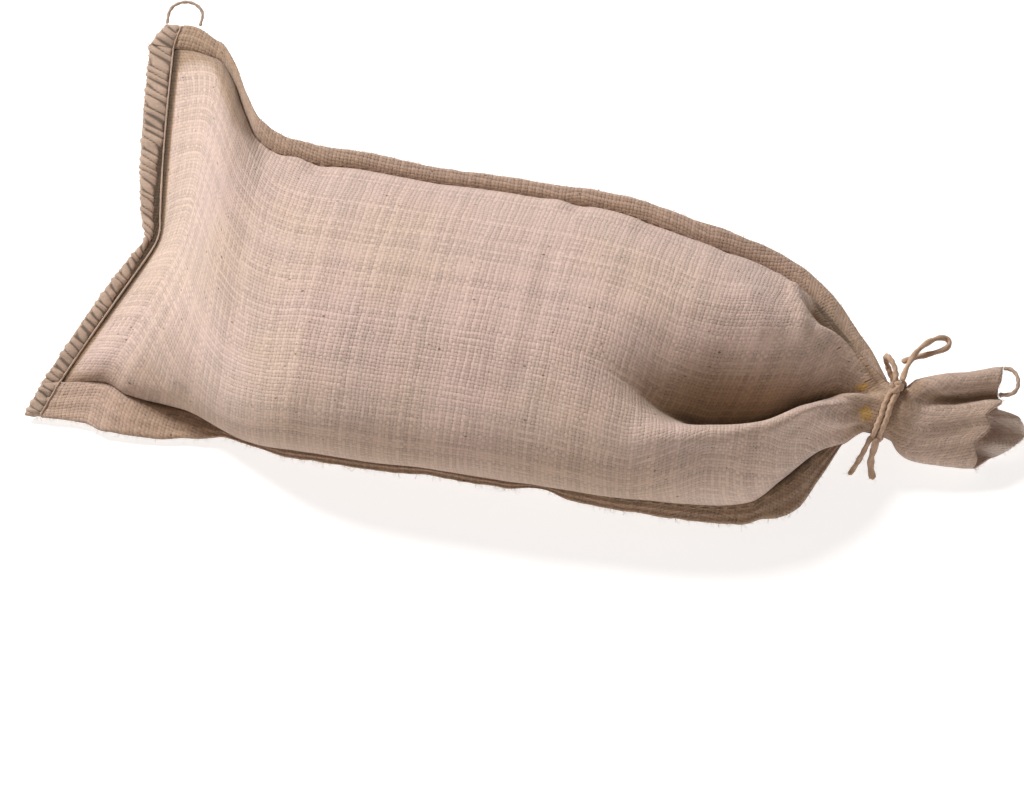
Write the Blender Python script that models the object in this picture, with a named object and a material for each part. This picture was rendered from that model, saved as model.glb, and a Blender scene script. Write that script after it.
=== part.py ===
"""A filled jute sack lying on its side, its mouth gathered and tied with twine.

+X runs from the bottom seam to the frill, +Y to the far side seam, +Z up; the sack rests on Z = 0.
The origin is the middle of the sack's length and width. Tables are in millimetres and degrees, one row for
each section or fold, and measured from ORIGIN.
"""

import math
from bisect import bisect_left
from collections import namedtuple

import bmesh
import bpy
from mathutils import Vector

MM = 0.001
ORIGIN = Vector((-2.44, -11.97, 0))  # the sack's own origin, as the tables measure it

# Driving sizes, in millimetres
UPPER_STEPS = 28          # steps of the ring over the upper panel, from seam to seam
LOWER_STEPS = 22          # steps of the ring under the lower panel
FLANGE_ACROSS = 1.15      # how far across a flange's edge lies, as a share of the seam's own distance
SEAM_CLOTH = 3.2          # thickness of the two layers of cloth in a side seam's flange
SEAM_PRESSED = 0.5        # how much thinner the tie presses them, as a share
SEAM_PRESSES = (240, 254)   # the stretch over which they thin
FLAT_ANGLE = 0.0005       # faces that bend less than this, in radians, are one where the sack rests
FLOOR_EASE = 3.0          # height over which the belly's curve runs out into the flat it rests on
FRILL_WALL = 2.2          # thickness of the gathered cloth past the tie
NECK_X = 262.0            # middle of the tie
FRILL_START_X = 270.0     # where the neck opens out again
MOUTH_X = 335.0           # the mouth's plain edge
POCKET_X = 289.0          # how deep the open frill reaches back towards the neck
TUCK_PLACE = -0.09        # where the bottom seam is tucked in, from -1 at the near corner to 1
TUCK_ENDS = (-307, -240)    # the stretch over which the tuck runs out
CORNER_SLANT = 11.0       # how far the far corner's tip slants in towards the middle of the sack
CORNER_ENDS = (-307, -290)  # and the stretch over which that runs out
FOLDS_FULL = 0.6          # how far along the frill its folds are fully formed
NECK_PLEATS = 9           # gathers round the neck
GATHER_DEPTH = 0.10       # depth of the gathers, as a share of the neck's size
GATHER_GROWS = (200, 238)   # the stretch along X over which the gathers grow
GATHER_ENDS = (246, 255)    # the stretch over which the tie presses them flat
TWINE = 3.9               # diameter of the tie's twine
OPENED_TWINE = 5.0        # and of its front end, where the plies have opened
SELVEDGE_YARN = 3.0       # diameter of the edge yarn that loops out of the mouth
THREAD = 2.2              # diameter of the seam's thread
SEAM_SHARE = 0.006        # half a seam's width, as a share of the way round the neck
POCKET_DIP = 6.0          # how much deeper the middle of the frill's inside lies than its edge
FRILL_LIFT = 0.8          # how far the frill's lowest fold stays off the floor
TOUCH_GAP = 0.5          # gap between pieces that touch
NECK_SIDES = 36           # points round the neck that the tie follows
TIE_SIDES = 8             # sides of the twine's section in the tie
ROUTE_STEPS = 16          # fine steps between a route's points, from which its tube's points are read
CORD_STEP = 2.2           # distance between the points of a loose end, in diameters
ARCH_STEP = 1.2           # the same for the tie's arch
ARCH_TRIM = 0.1           # how much thinner the arch is than the turns it runs into
TURN_PITCH = 4.4          # distance between the tie's two turns
KNOT_SIZE = (5.2, 4.8, 4.0)   # half sizes of the knot along X, Y and Z
KNOT_LOBES = 3            # lobes round the knot
KNOT_LOBE = 0.16          # how far the knot's lobes stand out, as a share of its size
KNOT_TWIST = 4            # how far the lobes wind round it
KNOT_STEP = 4             # the knot's place round the neck, in steps from the far seam
CLOTH_COLOUR = (0.46, 0.34, 0.23)
TWINE_COLOUR = (0.50, 0.38, 0.24)
ROUGHNESS = 0.9

# Where the two side seams run: far and near seam at each station
Seam = namedtuple("Seam", "x far_y far_z near_y near_z")
SEAMS = [
    Seam(-307, 128, 113, -126, 14),
    Seam(-290, 128, 115, -119, 14),
    Seam(-275, 125, 116, -114, 14),
    Seam(-262, 107, 117, -121, 14),
    Seam(-250, 81, 117, -122, 13),
    Seam(-236, 60, 115, -122, 12),
    Seam(-215, 53, 113, -129, 12),
    Seam(-190, 52, 113, -142, 18),
    Seam(-150, 53, 113, -152, 31),
    Seam(-40, 58, 114, -147, 35),
    Seam(30, 60, 113, -142, 32),
    Seam(100, 53, 107, -135, 29),
    Seam(150, 47, 96, -127, 27),
    Seam(180, 40, 87, -117, 25),
    Seam(200, 31, 80, -92, 29),
    Seam(213, 22, 74, -74, 32),
    Seam(223, 14, 70, -60, 31),
    Seam(236, 2, 64, -50, 31),
    Seam(252, -9, 59, -41, 35),
    Seam(262, -10, 58, -41, 35),
    Seam(275, -10, 56, -43, 30),
]

# How far each panel stands off the line between its seams, and how far its crown leans along that line
Bulge = namedtuple("Bulge", "x crown crown_lean belly belly_lean")
BULGES = [
    Bulge(-307, 2.3, 0, 2.3, 0),
    Bulge(-299, 2.3, 0, 2.3, 0),
    Bulge(-296, 2.6, 0, 2.0, 0),
    Bulge(-290, 13, 0, 11, 0),
    Bulge(-280, 29, 0, 27, 0),
    Bulge(-262, 49, -4, 50, -2),
    Bulge(-240, 66, -14, 68, -10),
    Bulge(-210, 77, -30, 84, -24),
    Bulge(-170, 81, -37, 94, -36),
    Bulge(-100, 81, -38, 96, -38),
    Bulge(30, 81, -38, 95, -38),
    Bulge(100, 78, -33, 87, -33),
    Bulge(150, 69, -22, 73, -22),
    Bulge(180, 58, -12, 57, -12),
    Bulge(200, 46, -6, 41, -6),
    Bulge(213, 37, -2, 31, -2),
    Bulge(223, 29, 0, 24, 0),
    Bulge(236, 21, 0, 17, 0),
    Bulge(252, 15, 0, 13, 0),
    Bulge(262, 14, 0, 12.5, 0),
    Bulge(275, 15, 0, 14, 0),
]

# How far each end of a section reaches back towards the bottom (the ears), and how sharp the bend is
Reach = namedtuple("Reach", "x far near far_power near_power round")
REACHES = [
    Reach(-307, 31, 50, 0.50, 0.80, 0.03),
    Reach(-290, 17, 44, 0.80, 1.00, 0.15),
    Reach(-265, 7, 32, 1.50, 1.50, 0.40),
    Reach(-235, 1, 16, 2.0, 2.0, 0.50),
    Reach(-200, 0, 4, 2.0, 2.0, 0.50),
    Reach(-170, 0, 0, 2.0, 2.0, 0.50),
    Reach(225, 0, 0, 2.0, 2.0, 0.50),
    Reach(252, -5, 5, 1.0, 1.0, 0.30),
    Reach(275, -5, 5, 1.0, 1.0, 0.30),
]

# Where the body's sections are taken, closer where it bends more, and the frill's, from neck to mouth
BODY_STATIONS = [
    -307, -305.5, -300.5, -298.5, -296.5, -294, -290, -285, -279, -272, -264, -255, -246, -237, -228, -217,
    -205, -190, -172, -150, -122, -92, -62, -32, -6, 16, 30, 42, 54, 68, 84, 100, 116, 132, 147, 161, 174, 186,
    197, 207, 216, 224, 231, 238, 244, 250, 256, 262, 266,
]
FRILL_DEPTHS = [0.05, 0.13, 0.22, 0.32, 0.43, 0.55, 0.68, 0.82, 0.94, 1.0]

# The seams' flanges: width, direction they stand in (degrees from +Y towards +Z), and the groove at the
# root; at the tie they are pressed in, so their width is less than nothing there
Flange = namedtuple("Flange", "x far_width far_angle far_groove near_width near_angle near_groove")
FLANGES = [
    Flange(-307, 18, 18, 0, 26, 197, 0),
    Flange(-290, 19.5, 20, 0, 32, 194, 0),
    Flange(-275, 14, 26, 1, 35, 193, 0),
    Flange(-258, 12.5, 36, 3, 31, 192, 0),
    Flange(-237, 13.5, 46, 5, 27, 194, 1),
    Flange(-221, 12, 46, 5, 17, 198, 2),
    Flange(-206, 11, 46, 5, 6, 210, 2),
    Flange(-188, 11, 46, 5, 4, 218, 2),
    Flange(-160, 11, 46, 4, 7, 222, 2),
    Flange(-90, 9, 46, 4, 7, 224, 3),
    Flange(0, 9.5, 46, 5, 6, 226, 3),
    Flange(28, 10, 48, 5, 3, 226, 2),
    Flange(50, 11, 48, 5, 8, 226, 3),
    Flange(90, 12, 48, 5, 10, 226, 3),
    Flange(140, 13, 47, 5, 12, 222, 3),
    Flange(185, 14, 46, 8, 16, 212, 3),
    Flange(200, 15, 46, 11, 31, 208, 3),
    Flange(213, 14, 46, 10, 38, 207, 3),
    Flange(223, 12, 46, 8, 25, 207, 3),
    Flange(236, 9, 42, 4, 6, 214, 1),
    Flange(253, -0.2, 38, 0.5, -0.2, 218, 0.5),
    Flange(275, -0.2, 38, 0.5, -0.2, 218, 0.5),
]

# The hollow where the filling has slumped away from the neck, as a trough along the top
Trough = namedtuple("Trough", "x y far_width near_width depth")
TROUGH = [
    Trough(25, -86, 36, 40, 0),
    Trough(55, -94, 46, 46, 5),
    Trough(82, -97, 62, 46, 18),
    Trough(110, -98, 76, 38, 38),
    Trough(150, -88, 82, 29, 53),
    Trough(180, -71, 68, 27, 48),
    Trough(205, -45, 46, 24, 36),
    Trough(230, -26, 26, 16, 18),
    Trough(250, -19, 16, 12, 5),
    Trough(262, -18, 14, 12, 0),
]

# The frill's middle line, the way its long side slants, and the size of its outline there
Frill = namedtuple("Frill", "x y z slant long_size short_size")
FRILLS = [
    Frill(268, -26, 46.5, 37, 21, 14.5),
    Frill(274, -25, 42, 40, 27, 17),
    Frill(284, -22, 38, 42, 32, 19),
    Frill(296, -18, 36, 40, 35, 20),
    Frill(312, -12, 32, 34, 37, 20),
    Frill(335, -2, 28, 26, 40, 20),
    Frill(365, 4, 24, 22, 40, 20),
]

# The folds round the frill's outline, from its top round the side away from the sack's back, as shares of
# its half length and half depth, and how far the mouth's edge reaches past MOUTH_X there
Fold = namedtuple("Fold", "along across past")
FOLDS = [
    Fold(1.00, 0.02, 0),
    Fold(0.84, 0.50, 1),
    Fold(0.60, 0.50, 1),
    Fold(0.43, 0.06, 1),
    Fold(0.28, 0.62, 6),
    Fold(0.02, 0.92, -2),
    Fold(-0.26, 0.86, 2),
    Fold(-0.54, 0.86, -6),
    Fold(-0.84, 0.52, -3),
    Fold(-0.94, -0.10, -5),
    Fold(-0.66, -0.76, 4),
    Fold(-0.40, -0.36, 20),
    Fold(-0.14, -0.88, 24),
    Fold(0.10, -0.40, 20),
    Fold(0.28, -0.86, 2),
    Fold(0.50, -0.34, -2),
    Fold(0.80, -0.56, 0),
]

# The twine's loose ends and the seam thread's end, each from where it leaves the sack
TIE_TOP_ROUTE = [
    (268.6, -12.4, 67.4), (269.0, -6.8, 68.6), (269.8, -0.8, 69.6), (271.0, 5.4, 70.2), (273.0, 12.4, 70.3),
    (275.8, 19.6, 69.6), (279.2, 26.6, 67.6), (283.0, 33.0, 64.8), (286.8, 37.8, 61.8), (290.6, 39.8, 59.4),
    (293.4, 38.2, 58.0), (293.4, 34.2, 57.8), (290.4, 29.6, 58.6), (285.4, 24.8, 60.0), (279.6, 19.8, 61.6),
    (273.8, 14.8, 63.4), (268.8, 10.0, 65.2), (264.6, 5.6, 66.8),
]
TIE_FRONT_ROUTE = [
    (257.8, -49.0, 36.2), (257.2, -50.3, 31.2), (256.2, -51.2, 26.2), (255.6, -51.9, 21.2), (255.4, -52.6, 16.2),
    (255.6, -53.4, 11.2), (256.3, -54.3, 7.2), (257.4, -55.8, 4.4), (258.8, -58.2, 3.1),
]
TIE_SIDE_ROUTE = [
    (252.6, -47.1, 35.2), (250.8, -49.5, 29.6), (249.0, -51.3, 24.0), (247.2, -52.2, 18.4), (245.3, -53.1, 12.9),
    (243.4, -54.3, 8.0), (241.8, -55.8, 4.6), (240.2, -57.9, 2.6),
]
SELVEDGE_ROUTE = [
    (335.7, 33.2, 45.8), (341.0, 33.3, 46.0), (345.6, 30.8, 45.2), (348.2, 26.6, 44.2), (349.2, 22.0, 43.0),
    (348.6, 18.6, 41.8), (346.4, 16.0, 40.4), (342.4, 14.6, 39.2), (336.5, 14.3, 37.9),
]
# The slack turn of the tie that stands off the top of the neck, from the knot to the back
TIE_ARCH_ROUTE = [
    (264.2, -14.6, 66.4), (263.4, -9.4, 68.6), (261.4, -4.0, 70.8), (258.2, 0.4, 71.9), (254.8, 4.4, 71.0),
    (252.4, 7.2, 67.8), (251.9, 7.8, 63.0), (253.6, 6.8, 57.2), (257.0, 3.2, 52.4), (260.6, -2.0, 49.4),
    (263.2, -6.4, 48.2),
]
THREAD_ROUTE = [
    (-329.7, 145.7, 118.8), (-330.2, 150.3, 120.8), (-330.0, 154.5, 122.8), (-328.3, 158.1, 124.6),
    (-325.0, 160.9, 125.8), (-320.8, 162.9, 126.4), (-315.5, 163.4, 126.6), (-310.3, 162.0, 126.0),
    (-306.4, 159.0, 124.9), (-304.8, 155.2, 123.6), (-304.7, 151.0, 122.7), (-304.6, 147.0, 122.0),
]


def blend_rows(rows, x):
    """The columns of a table at x, on a smooth curve through its rows that doesn't overshoot them."""
    if x <= rows[0].x:
        return rows[0]
    if x >= rows[-1].x:
        return rows[-1]
    upper = next(i for i, row in enumerate(rows) if row.x > x)
    left, right = rows[upper - 1], rows[upper]
    before, after = rows[max(upper - 2, 0)], rows[min(upper + 1, len(rows) - 1)]
    span = right.x - left.x
    share = (x - left.x) / span
    columns = []
    for a, b, c, d in zip(left, right, before, after):
        here = (b - a) / span
        start = here if before is left else even_slope((a - c) / (left.x - before.x), here)
        end = here if after is right else even_slope(here, (d - b) / (after.x - right.x))
        columns.append(hermite(a, b, start * span, end * span, share))
    return type(left)(*columns)


def even_slope(before, after):
    """A slope between two others that keeps the curve from overshooting: none where they disagree."""
    if before * after <= 0:
        return 0.0
    return 2 * before * after / (before + after)


def hermite(a, b, slope_a, slope_b, share):
    """A share of the way along the smooth curve from a to b that has these slopes at its ends."""
    square, cube = share * share, share ** 3
    rise = 3 * square - 2 * cube
    return (1 - rise) * a + rise * b + (cube - 2 * square + share) * slope_a + (cube - square) * slope_b


def ease(value, low, high):
    """0 below low, 1 above high and a smooth step between."""
    share = min(max((value - low) / (high - low), 0.0), 1.0)
    return share * share * (3 - 2 * share)


def rest_on_floor(z):
    """Heights under the floor come up to it, with an eased edge."""
    if z >= FLOOR_EASE:
        return z
    if z <= -FLOOR_EASE:
        return 0.0
    return (z + FLOOR_EASE) ** 2 / (4 * FLOOR_EASE)


def ear_reach(x, across):
    """How far a point of the section at x is drawn back; across runs from -1 at the near seam to 1."""
    row = blend_rows(REACHES, x)
    across -= TUCK_PLACE * (1 - ease(x, *TUCK_ENDS)) * (1 - abs(across))
    reach, power = (row.far, row.far_power) if across > 0 else (row.near, row.near_power)
    soft = row.round ** 2
    whole = (1 + soft) ** (power / 2) - soft ** (power / 2)
    return reach * ((across * across + soft) ** (power / 2) - soft ** (power / 2)) / whole


def trough_depth(x, y):
    """How far the top has sunk at x, y: round shoulders that run straight down into a crease."""
    if not TROUGH[0].x < x < TROUGH[-1].x:
        return 0.0
    row = blend_rows(TROUGH, x)
    away = y - row.y
    share = min(abs(away) / (row.far_width if away > 0 else row.near_width), 1.0)
    return row.depth * (1 - share * (3 - share * share) / 2)


def direction(degrees):
    """The unit vector across the sack at an angle from +Y towards +Z."""
    angle = math.radians(degrees)
    return Vector((0, math.cos(angle), math.sin(angle)))


def panel_point(x, turn):
    """A point of the cloth: turn 0 is the far seam, pi the near one, with the upper panel between them."""
    seam, bulge = blend_rows(SEAMS, x), blend_rows(BULGES, x)
    far, near = Vector((x, seam.far_y, seam.far_z)), Vector((x, seam.near_y, seam.near_z))
    half = (far - near) / 2
    along = half.normalized()
    out = Vector((0, -along.z, along.y))
    lift = math.sin(turn)
    crown, lean = (bulge.crown, bulge.crown_lean) if lift > 0 else (bulge.belly, bulge.belly_lean)
    point = (far + near) / 2 + half * math.cos(turn) + (out * crown + along * lean) * lift
    gather = math.cos(NECK_PLEATS * turn) * ease(x, *GATHER_GROWS) * (1 - ease(x, *GATHER_ENDS))
    point += (point - (far + near) / 2) * GATHER_DEPTH * gather
    if lift > 0:
        point.z -= trough_depth(x, point.y)
    point.x -= ear_reach(x, math.cos(turn))
    return point


def flange_points(x, far_side):
    """The four points round one side seam's flange, from the upper panel's root to the lower one's."""
    row = blend_rows(FLANGES, x)
    if far_side:
        root, width, angle, groove = panel_point(x, 0), row.far_width, row.far_angle, row.far_groove
    else:
        root, width, angle, groove = panel_point(x, math.pi), row.near_width, row.near_angle, row.near_groove
    out = direction(angle)
    up = direction(angle + (90 if far_side else -90))
    half = up * (SEAM_CLOTH / 2) * (1 - SEAM_PRESSED * ease(x, *SEAM_PRESSES))
    root = root - out * groove
    tip = root + out * (width + groove)
    if width > 0:
        side = 1 if far_side else -1
        tip.x -= ear_reach(x, side * FLANGE_ACROSS) - ear_reach(x, side)
    if far_side:
        tip.x += CORNER_SLANT * (1 - ease(x, *CORNER_ENDS))
    return [root + half, tip + half, tip - half, root - half]


def body_ring(x):
    """One closed section: far root, upper panel, near flange, lower panel, far flange."""
    far, near = flange_points(x, True), flange_points(x, False)
    upper = [panel_point(x, math.pi * i / UPPER_STEPS) for i in range(1, UPPER_STEPS)]
    lower = [panel_point(x, math.pi * (1 + i / LOWER_STEPS)) for i in range(1, LOWER_STEPS)]
    ring = [far[0]] + upper + near + lower + [far[3], far[2], far[1]]
    for point in ring:
        point.z = rest_on_floor(point.z)
    return ring


def closed_curve(rows, share):
    """The columns of a round table at share of the way round, on a smooth closed curve through its rows."""
    place = share * len(rows)
    first = int(place) % len(rows)
    before, a, b, after = (rows[(first + step) % len(rows)] for step in (-1, 0, 1, 2))
    here = place - int(place)
    return [hermite(q, r, (r - p) / 2, (s - q) / 2, here) for p, q, r, s in zip(before, a, b, after)]


def frill_outline(share, row, folded):
    """A point of the frill's outline in its own plane, from a plain oval (folded 0) to its folds (1)."""
    turn = 2 * math.pi * share
    oval = Vector((math.cos(turn) * row.long_size, math.sin(turn) * row.short_size))
    along, across, _ = closed_curve(FOLDS, share % 1)
    return oval.lerp(Vector((along * row.long_size, across * row.short_size)), folded)


def frill_point(share, step, depth, inside):
    """A point of the gathered cloth: share round the outline, depth from the neck (0) to the mouth (1)."""
    start = FRILL_START_X - ear_reach(FRILL_START_X, math.cos(2 * math.pi * share))
    past = closed_curve(FOLDS, share % 1)[2]
    x = start + (MOUTH_X + past - start) * depth
    row = blend_rows(FRILLS, x)
    folded = ease(depth, 0, FOLDS_FULL)
    before, here, after = (frill_outline(share + offset, row, folded) for offset in (-step, 0, step))
    run = (after - before).normalized()
    flat = here + Vector((-run.y, run.x)) * (FRILL_WALL if inside else 0)
    point = Vector((x, row.y, row.z)) + direction(row.slant) * flat.x + direction(row.slant + 90) * flat.y
    point.z = max(rest_on_floor(point.z - FRILL_LIFT) + FRILL_LIFT, FRILL_LIFT)
    return point


def ring_shares(depth):
    """How far round each point of a ring lies: as on the body at the neck, evenly spaced by the mouth."""
    seam = SEAM_SHARE
    upper = [i / UPPER_STEPS / 2 for i in range(1, UPPER_STEPS)]
    lower = [0.5 + i / LOWER_STEPS / 2 for i in range(1, LOWER_STEPS)]
    near = [0.5 - seam, 0.5 - seam / 2, 0.5 + seam / 2, 0.5 + seam]
    shares = [seam] + upper + near + lower + [1 - seam, 1 - seam / 2, 1 + seam / 2]
    spread = ease(depth, 0, FOLDS_FULL)
    return [share + (i / len(shares) - share) * spread for i, share in enumerate(shares)]


def frill_ring(depth, inside):
    """One closed section of the frill, on the outside of its cloth or the inside."""
    shares = ring_shares(depth)
    return [frill_point(share, 1 / len(shares), depth, inside) for share in shares]


def sack_rings():
    """All sections of the sack's skin, outside from the bottom seam to the mouth, then back down inside."""
    pocket = (POCKET_X - FRILL_START_X) / (MOUTH_X - FRILL_START_X)
    rings = [body_ring(x) for x in BODY_STATIONS]
    rings += [frill_ring(depth, False) for depth in FRILL_DEPTHS]
    rings += [frill_ring(depth, True) for depth in reversed(FRILL_DEPTHS) if depth > pocket]
    return rings


def metres(point):
    """A point of the tables in metres from the sack's own origin."""
    return (point - ORIGIN) * MM


def add_object(name, mesh, colour):
    """An object with a plain material of its own."""
    obj = bpy.data.objects.new(name, mesh)
    bpy.context.scene.collection.objects.link(obj)
    material = bpy.data.materials.new(name)
    material.use_nodes = True
    shader = material.node_tree.nodes["Principled BSDF"]
    shader.inputs["Base Color"].default_value = (*colour, 1)
    shader.inputs["Roughness"].default_value = ROUGHNESS
    mesh.materials.append(material)
    return obj


def finish_mesh(shape, name):
    """A shape's mesh, in triangles that face outwards, shaded smooth."""
    bmesh.ops.triangulate(shape, faces=shape.faces[:])
    bmesh.ops.recalc_face_normals(shape, faces=shape.faces[:])
    mesh = bpy.data.meshes.new(name)
    shape.to_mesh(mesh)
    shape.free()
    mesh.shade_smooth()
    return mesh


def build_sack():
    """The body, seams, ears, neck and frill as one skin lofted through its sections."""
    shape = bmesh.new()
    loops = [[shape.verts.new(metres(point)) for point in ring] for ring in sack_rings()]
    count = len(loops[0])
    for ring, following in zip(loops, loops[1:]):
        for i in range(count):
            j = (i + 1) % count
            shape.faces.new((ring[i], ring[j], following[j], following[i]))
    shape.faces.new(loops[0][::-1])
    middle = sum((vert.co for vert in loops[-1]), Vector()) / count
    bottom = shape.verts.new(middle - Vector((POCKET_DIP * MM, 0, 0)))
    for i, vert in enumerate(loops[-1]):
        shape.faces.new((vert, loops[-1][(i + 1) % count], bottom))
    flat = [face for face in shape.faces if all(vert.co.z == 0 for vert in face.verts)]
    edges = {edge for face in flat for edge in face.edges}
    verts = {vert for face in flat for vert in face.verts}
    bmesh.ops.dissolve_limit(shape, angle_limit=FLAT_ANGLE, verts=list(verts), edges=list(edges))
    return add_object("sack", finish_mesh(shape, "sack"), CLOTH_COLOUR)


def smooth_route(route, spacing):
    """Points a set distance apart on a smooth curve through a route's own points."""
    knots = [Vector(point) for point in route]
    fine = []
    for i in range(len(knots) - 1):
        before = knots[i - 1] if i > 0 else knots[i] * 2 - knots[i + 1]
        after = knots[i + 2] if i + 2 < len(knots) else knots[i + 1] * 2 - knots[i]
        start, end = (knots[i + 1] - before) / 2, (after - knots[i]) / 2
        for step in range(ROUTE_STEPS):
            share = step / ROUTE_STEPS
            fine.append(Vector([hermite(*parts, share) for parts in zip(knots[i], knots[i + 1], start, end)]))
    fine.append(knots[-1])
    travelled = [0.0]
    for a, b in zip(fine, fine[1:]):
        travelled.append(travelled[-1] + (b - a).length)
    steps = max(2, round(travelled[-1] / spacing))
    points = [fine[0]]
    for step in range(1, steps + 1):
        goal = travelled[-1] * step / steps
        i = min(bisect_left(travelled, goal), len(fine) - 1)
        points.append(fine[i - 1].lerp(fine[i], (goal - travelled[i - 1]) / (travelled[i] - travelled[i - 1])))
    return points


def build_cord(name, route, diameter, colour):
    """A length of twine as a round tube along its route, with closed ends."""
    points = smooth_route(route, diameter * CORD_STEP)
    curve = bpy.data.curves.new(name, "CURVE")
    curve.dimensions = "3D"
    curve.bevel_depth = diameter / 2 * MM
    curve.bevel_resolution = 2
    curve.use_fill_caps = True
    spline = curve.splines.new("POLY")
    spline.points.add(len(points) - 1)
    for target, point in zip(spline.points, points):
        target.co = (*metres(point), 1)
    return add_object(name, curve, colour)


def neck_outline(x, gap):
    """The neck's section at x, moved out by gap."""
    ring = [panel_point(x, 2 * math.pi * i / NECK_SIDES) for i in range(NECK_SIDES)]
    middle = sum(ring, Vector()) / len(ring)
    moved = []
    for i, point in enumerate(ring):
        run = ring[(i + 1) % len(ring)] - ring[i - 1]
        out = Vector((0, run.z, -run.y)).normalized()
        if out.dot(point - middle) < 0:
            out = -out
        moved.append(point + out * gap)
    return moved


def tube_mesh(name, path, radius, closed):
    """A tube of twine round a path, joined end to end or with flat ends."""
    shape = bmesh.new()
    rings = []
    last = len(path) - 1
    for i, point in enumerate(path):
        ahead = path[(i + 1) % len(path)] if closed or i < last else point
        behind = path[i - 1] if closed or i > 0 else point
        run = (ahead - behind).normalized()
        side = run.cross(Vector((1, 0, 0))).normalized()
        up = run.cross(side)
        angles = [2 * math.pi * k / TIE_SIDES for k in range(TIE_SIDES)]
        around = [point + (side * math.cos(angle) + up * math.sin(angle)) * radius for angle in angles]
        rings.append([shape.verts.new(metres(corner)) for corner in around])
    pairs = zip(rings, rings[1:] + rings[:1]) if closed else zip(rings, rings[1:])
    for ring, following in pairs:
        for k in range(TIE_SIDES):
            j = (k + 1) % TIE_SIDES
            shape.faces.new((ring[k], ring[j], following[j], following[k]))
    if not closed:
        shape.faces.new(rings[0])
        shape.faces.new(rings[-1])
    return finish_mesh(shape, name)


def knot_mesh(name, place):
    """The knot: a lump of three rounded lobes."""
    shape = bmesh.new()
    bmesh.ops.create_icosphere(shape, subdivisions=3, radius=1)
    for vert in shape.verts:
        around = vert.co.normalized()
        lump = 1 + KNOT_LOBE * math.cos(KNOT_LOBES * math.atan2(around.y, around.x) + KNOT_TWIST * around.z)
        size = [around[k] * KNOT_SIZE[k] * lump for k in range(3)]
        vert.co = metres(Vector(size) + place)
    return finish_mesh(shape, name)


def build_tie():
    """Two turns of twine round the neck, with the slack one's arch and the knot on top, all one solid."""
    reach = TWINE / 2 + TOUCH_GAP
    turns = [neck_outline(NECK_X + side * TURN_PITCH / 2, reach) for side in (-1, 1)]
    knot_place = neck_outline(NECK_X, KNOT_SIZE[2] * (1 + KNOT_LOBE) + TOUCH_GAP)[KNOT_STEP]
    pieces = [
        tube_mesh("tie", turns[0], TWINE / 2, True),
        tube_mesh("tie_second_turn", turns[1], TWINE / 2, True),
        tube_mesh("tie_arch", smooth_route(TIE_ARCH_ROUTE, TWINE * ARCH_STEP), TWINE / 2 - ARCH_TRIM, False),
        knot_mesh("tie_knot", knot_place),
    ]
    tie, *others = [add_object(piece.name, piece, TWINE_COLOUR) for piece in pieces]
    for other in others:
        other.hide_render = True
        other.display_type = "WIRE"
        union = tie.modifiers.new("Join " + other.name, "BOOLEAN")
        union.operation = "UNION"
        union.solver = "EXACT"
        union.object = other
    return tie


def main():
    for obj in list(bpy.data.objects):
        bpy.data.objects.remove(obj)
    build_sack()
    build_tie()
    build_cord("tie_end_top", TIE_TOP_ROUTE, TWINE, TWINE_COLOUR)
    build_cord("tie_end_front", TIE_FRONT_ROUTE, OPENED_TWINE, TWINE_COLOUR)
    build_cord("tie_end_side", TIE_SIDE_ROUTE, TWINE, TWINE_COLOUR)
    build_cord("thread_end", THREAD_ROUTE, THREAD, CLOTH_COLOUR)
    build_cord("selvedge_end", SELVEDGE_ROUTE, SELVEDGE_YARN, CLOTH_COLOUR)


main()
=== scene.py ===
"""A filled jute sack lying on its side, mouth gathered and tied: its cloth, seams, twine and fibres.

Tables are in millimetres and degrees, as in the model of the solids, and are measured from ORIGIN.
Around the sack, turn 0 is the far side seam, 180 the near one, with the upper panel between them.
"""

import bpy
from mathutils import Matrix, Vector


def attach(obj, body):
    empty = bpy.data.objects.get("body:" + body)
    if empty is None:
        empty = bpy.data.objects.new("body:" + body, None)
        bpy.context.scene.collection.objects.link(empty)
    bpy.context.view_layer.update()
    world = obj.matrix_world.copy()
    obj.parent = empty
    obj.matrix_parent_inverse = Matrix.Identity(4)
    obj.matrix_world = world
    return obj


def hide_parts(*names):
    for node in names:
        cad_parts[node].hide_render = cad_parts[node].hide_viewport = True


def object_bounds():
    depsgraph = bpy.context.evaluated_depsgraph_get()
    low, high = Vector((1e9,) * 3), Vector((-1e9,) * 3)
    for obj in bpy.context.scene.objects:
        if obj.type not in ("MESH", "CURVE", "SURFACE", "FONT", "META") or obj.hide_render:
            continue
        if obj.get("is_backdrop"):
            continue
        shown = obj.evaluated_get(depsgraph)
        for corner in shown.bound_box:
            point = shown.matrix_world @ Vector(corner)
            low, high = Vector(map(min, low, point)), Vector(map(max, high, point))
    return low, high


bl_info = {
    "name": "Filled Jute Sack",
    "version": (1, 0, 0),
    "blender": (4, 5, 0),
    "location": "View3D > Sidebar > Sack",
    "description": "Makes the cloth, seams and twine of a filled, tied jute sack around its solids",
    "category": "Object",
}

import math
import random
from bisect import bisect_left
from collections import namedtuple
from functools import lru_cache

import bmesh
import bpy
from bpy.props import FloatProperty, FloatVectorProperty, IntProperty, PointerProperty
from mathutils import Vector, noise

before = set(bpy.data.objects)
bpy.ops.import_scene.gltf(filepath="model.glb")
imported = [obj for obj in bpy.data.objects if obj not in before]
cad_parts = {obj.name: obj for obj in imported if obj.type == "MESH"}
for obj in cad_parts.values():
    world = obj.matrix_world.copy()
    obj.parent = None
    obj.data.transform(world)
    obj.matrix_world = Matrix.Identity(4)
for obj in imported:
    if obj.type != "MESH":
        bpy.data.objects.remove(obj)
CAD_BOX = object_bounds()

MM = 0.001
ORIGIN = Vector((-2.44, -11.97, 0))

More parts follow.
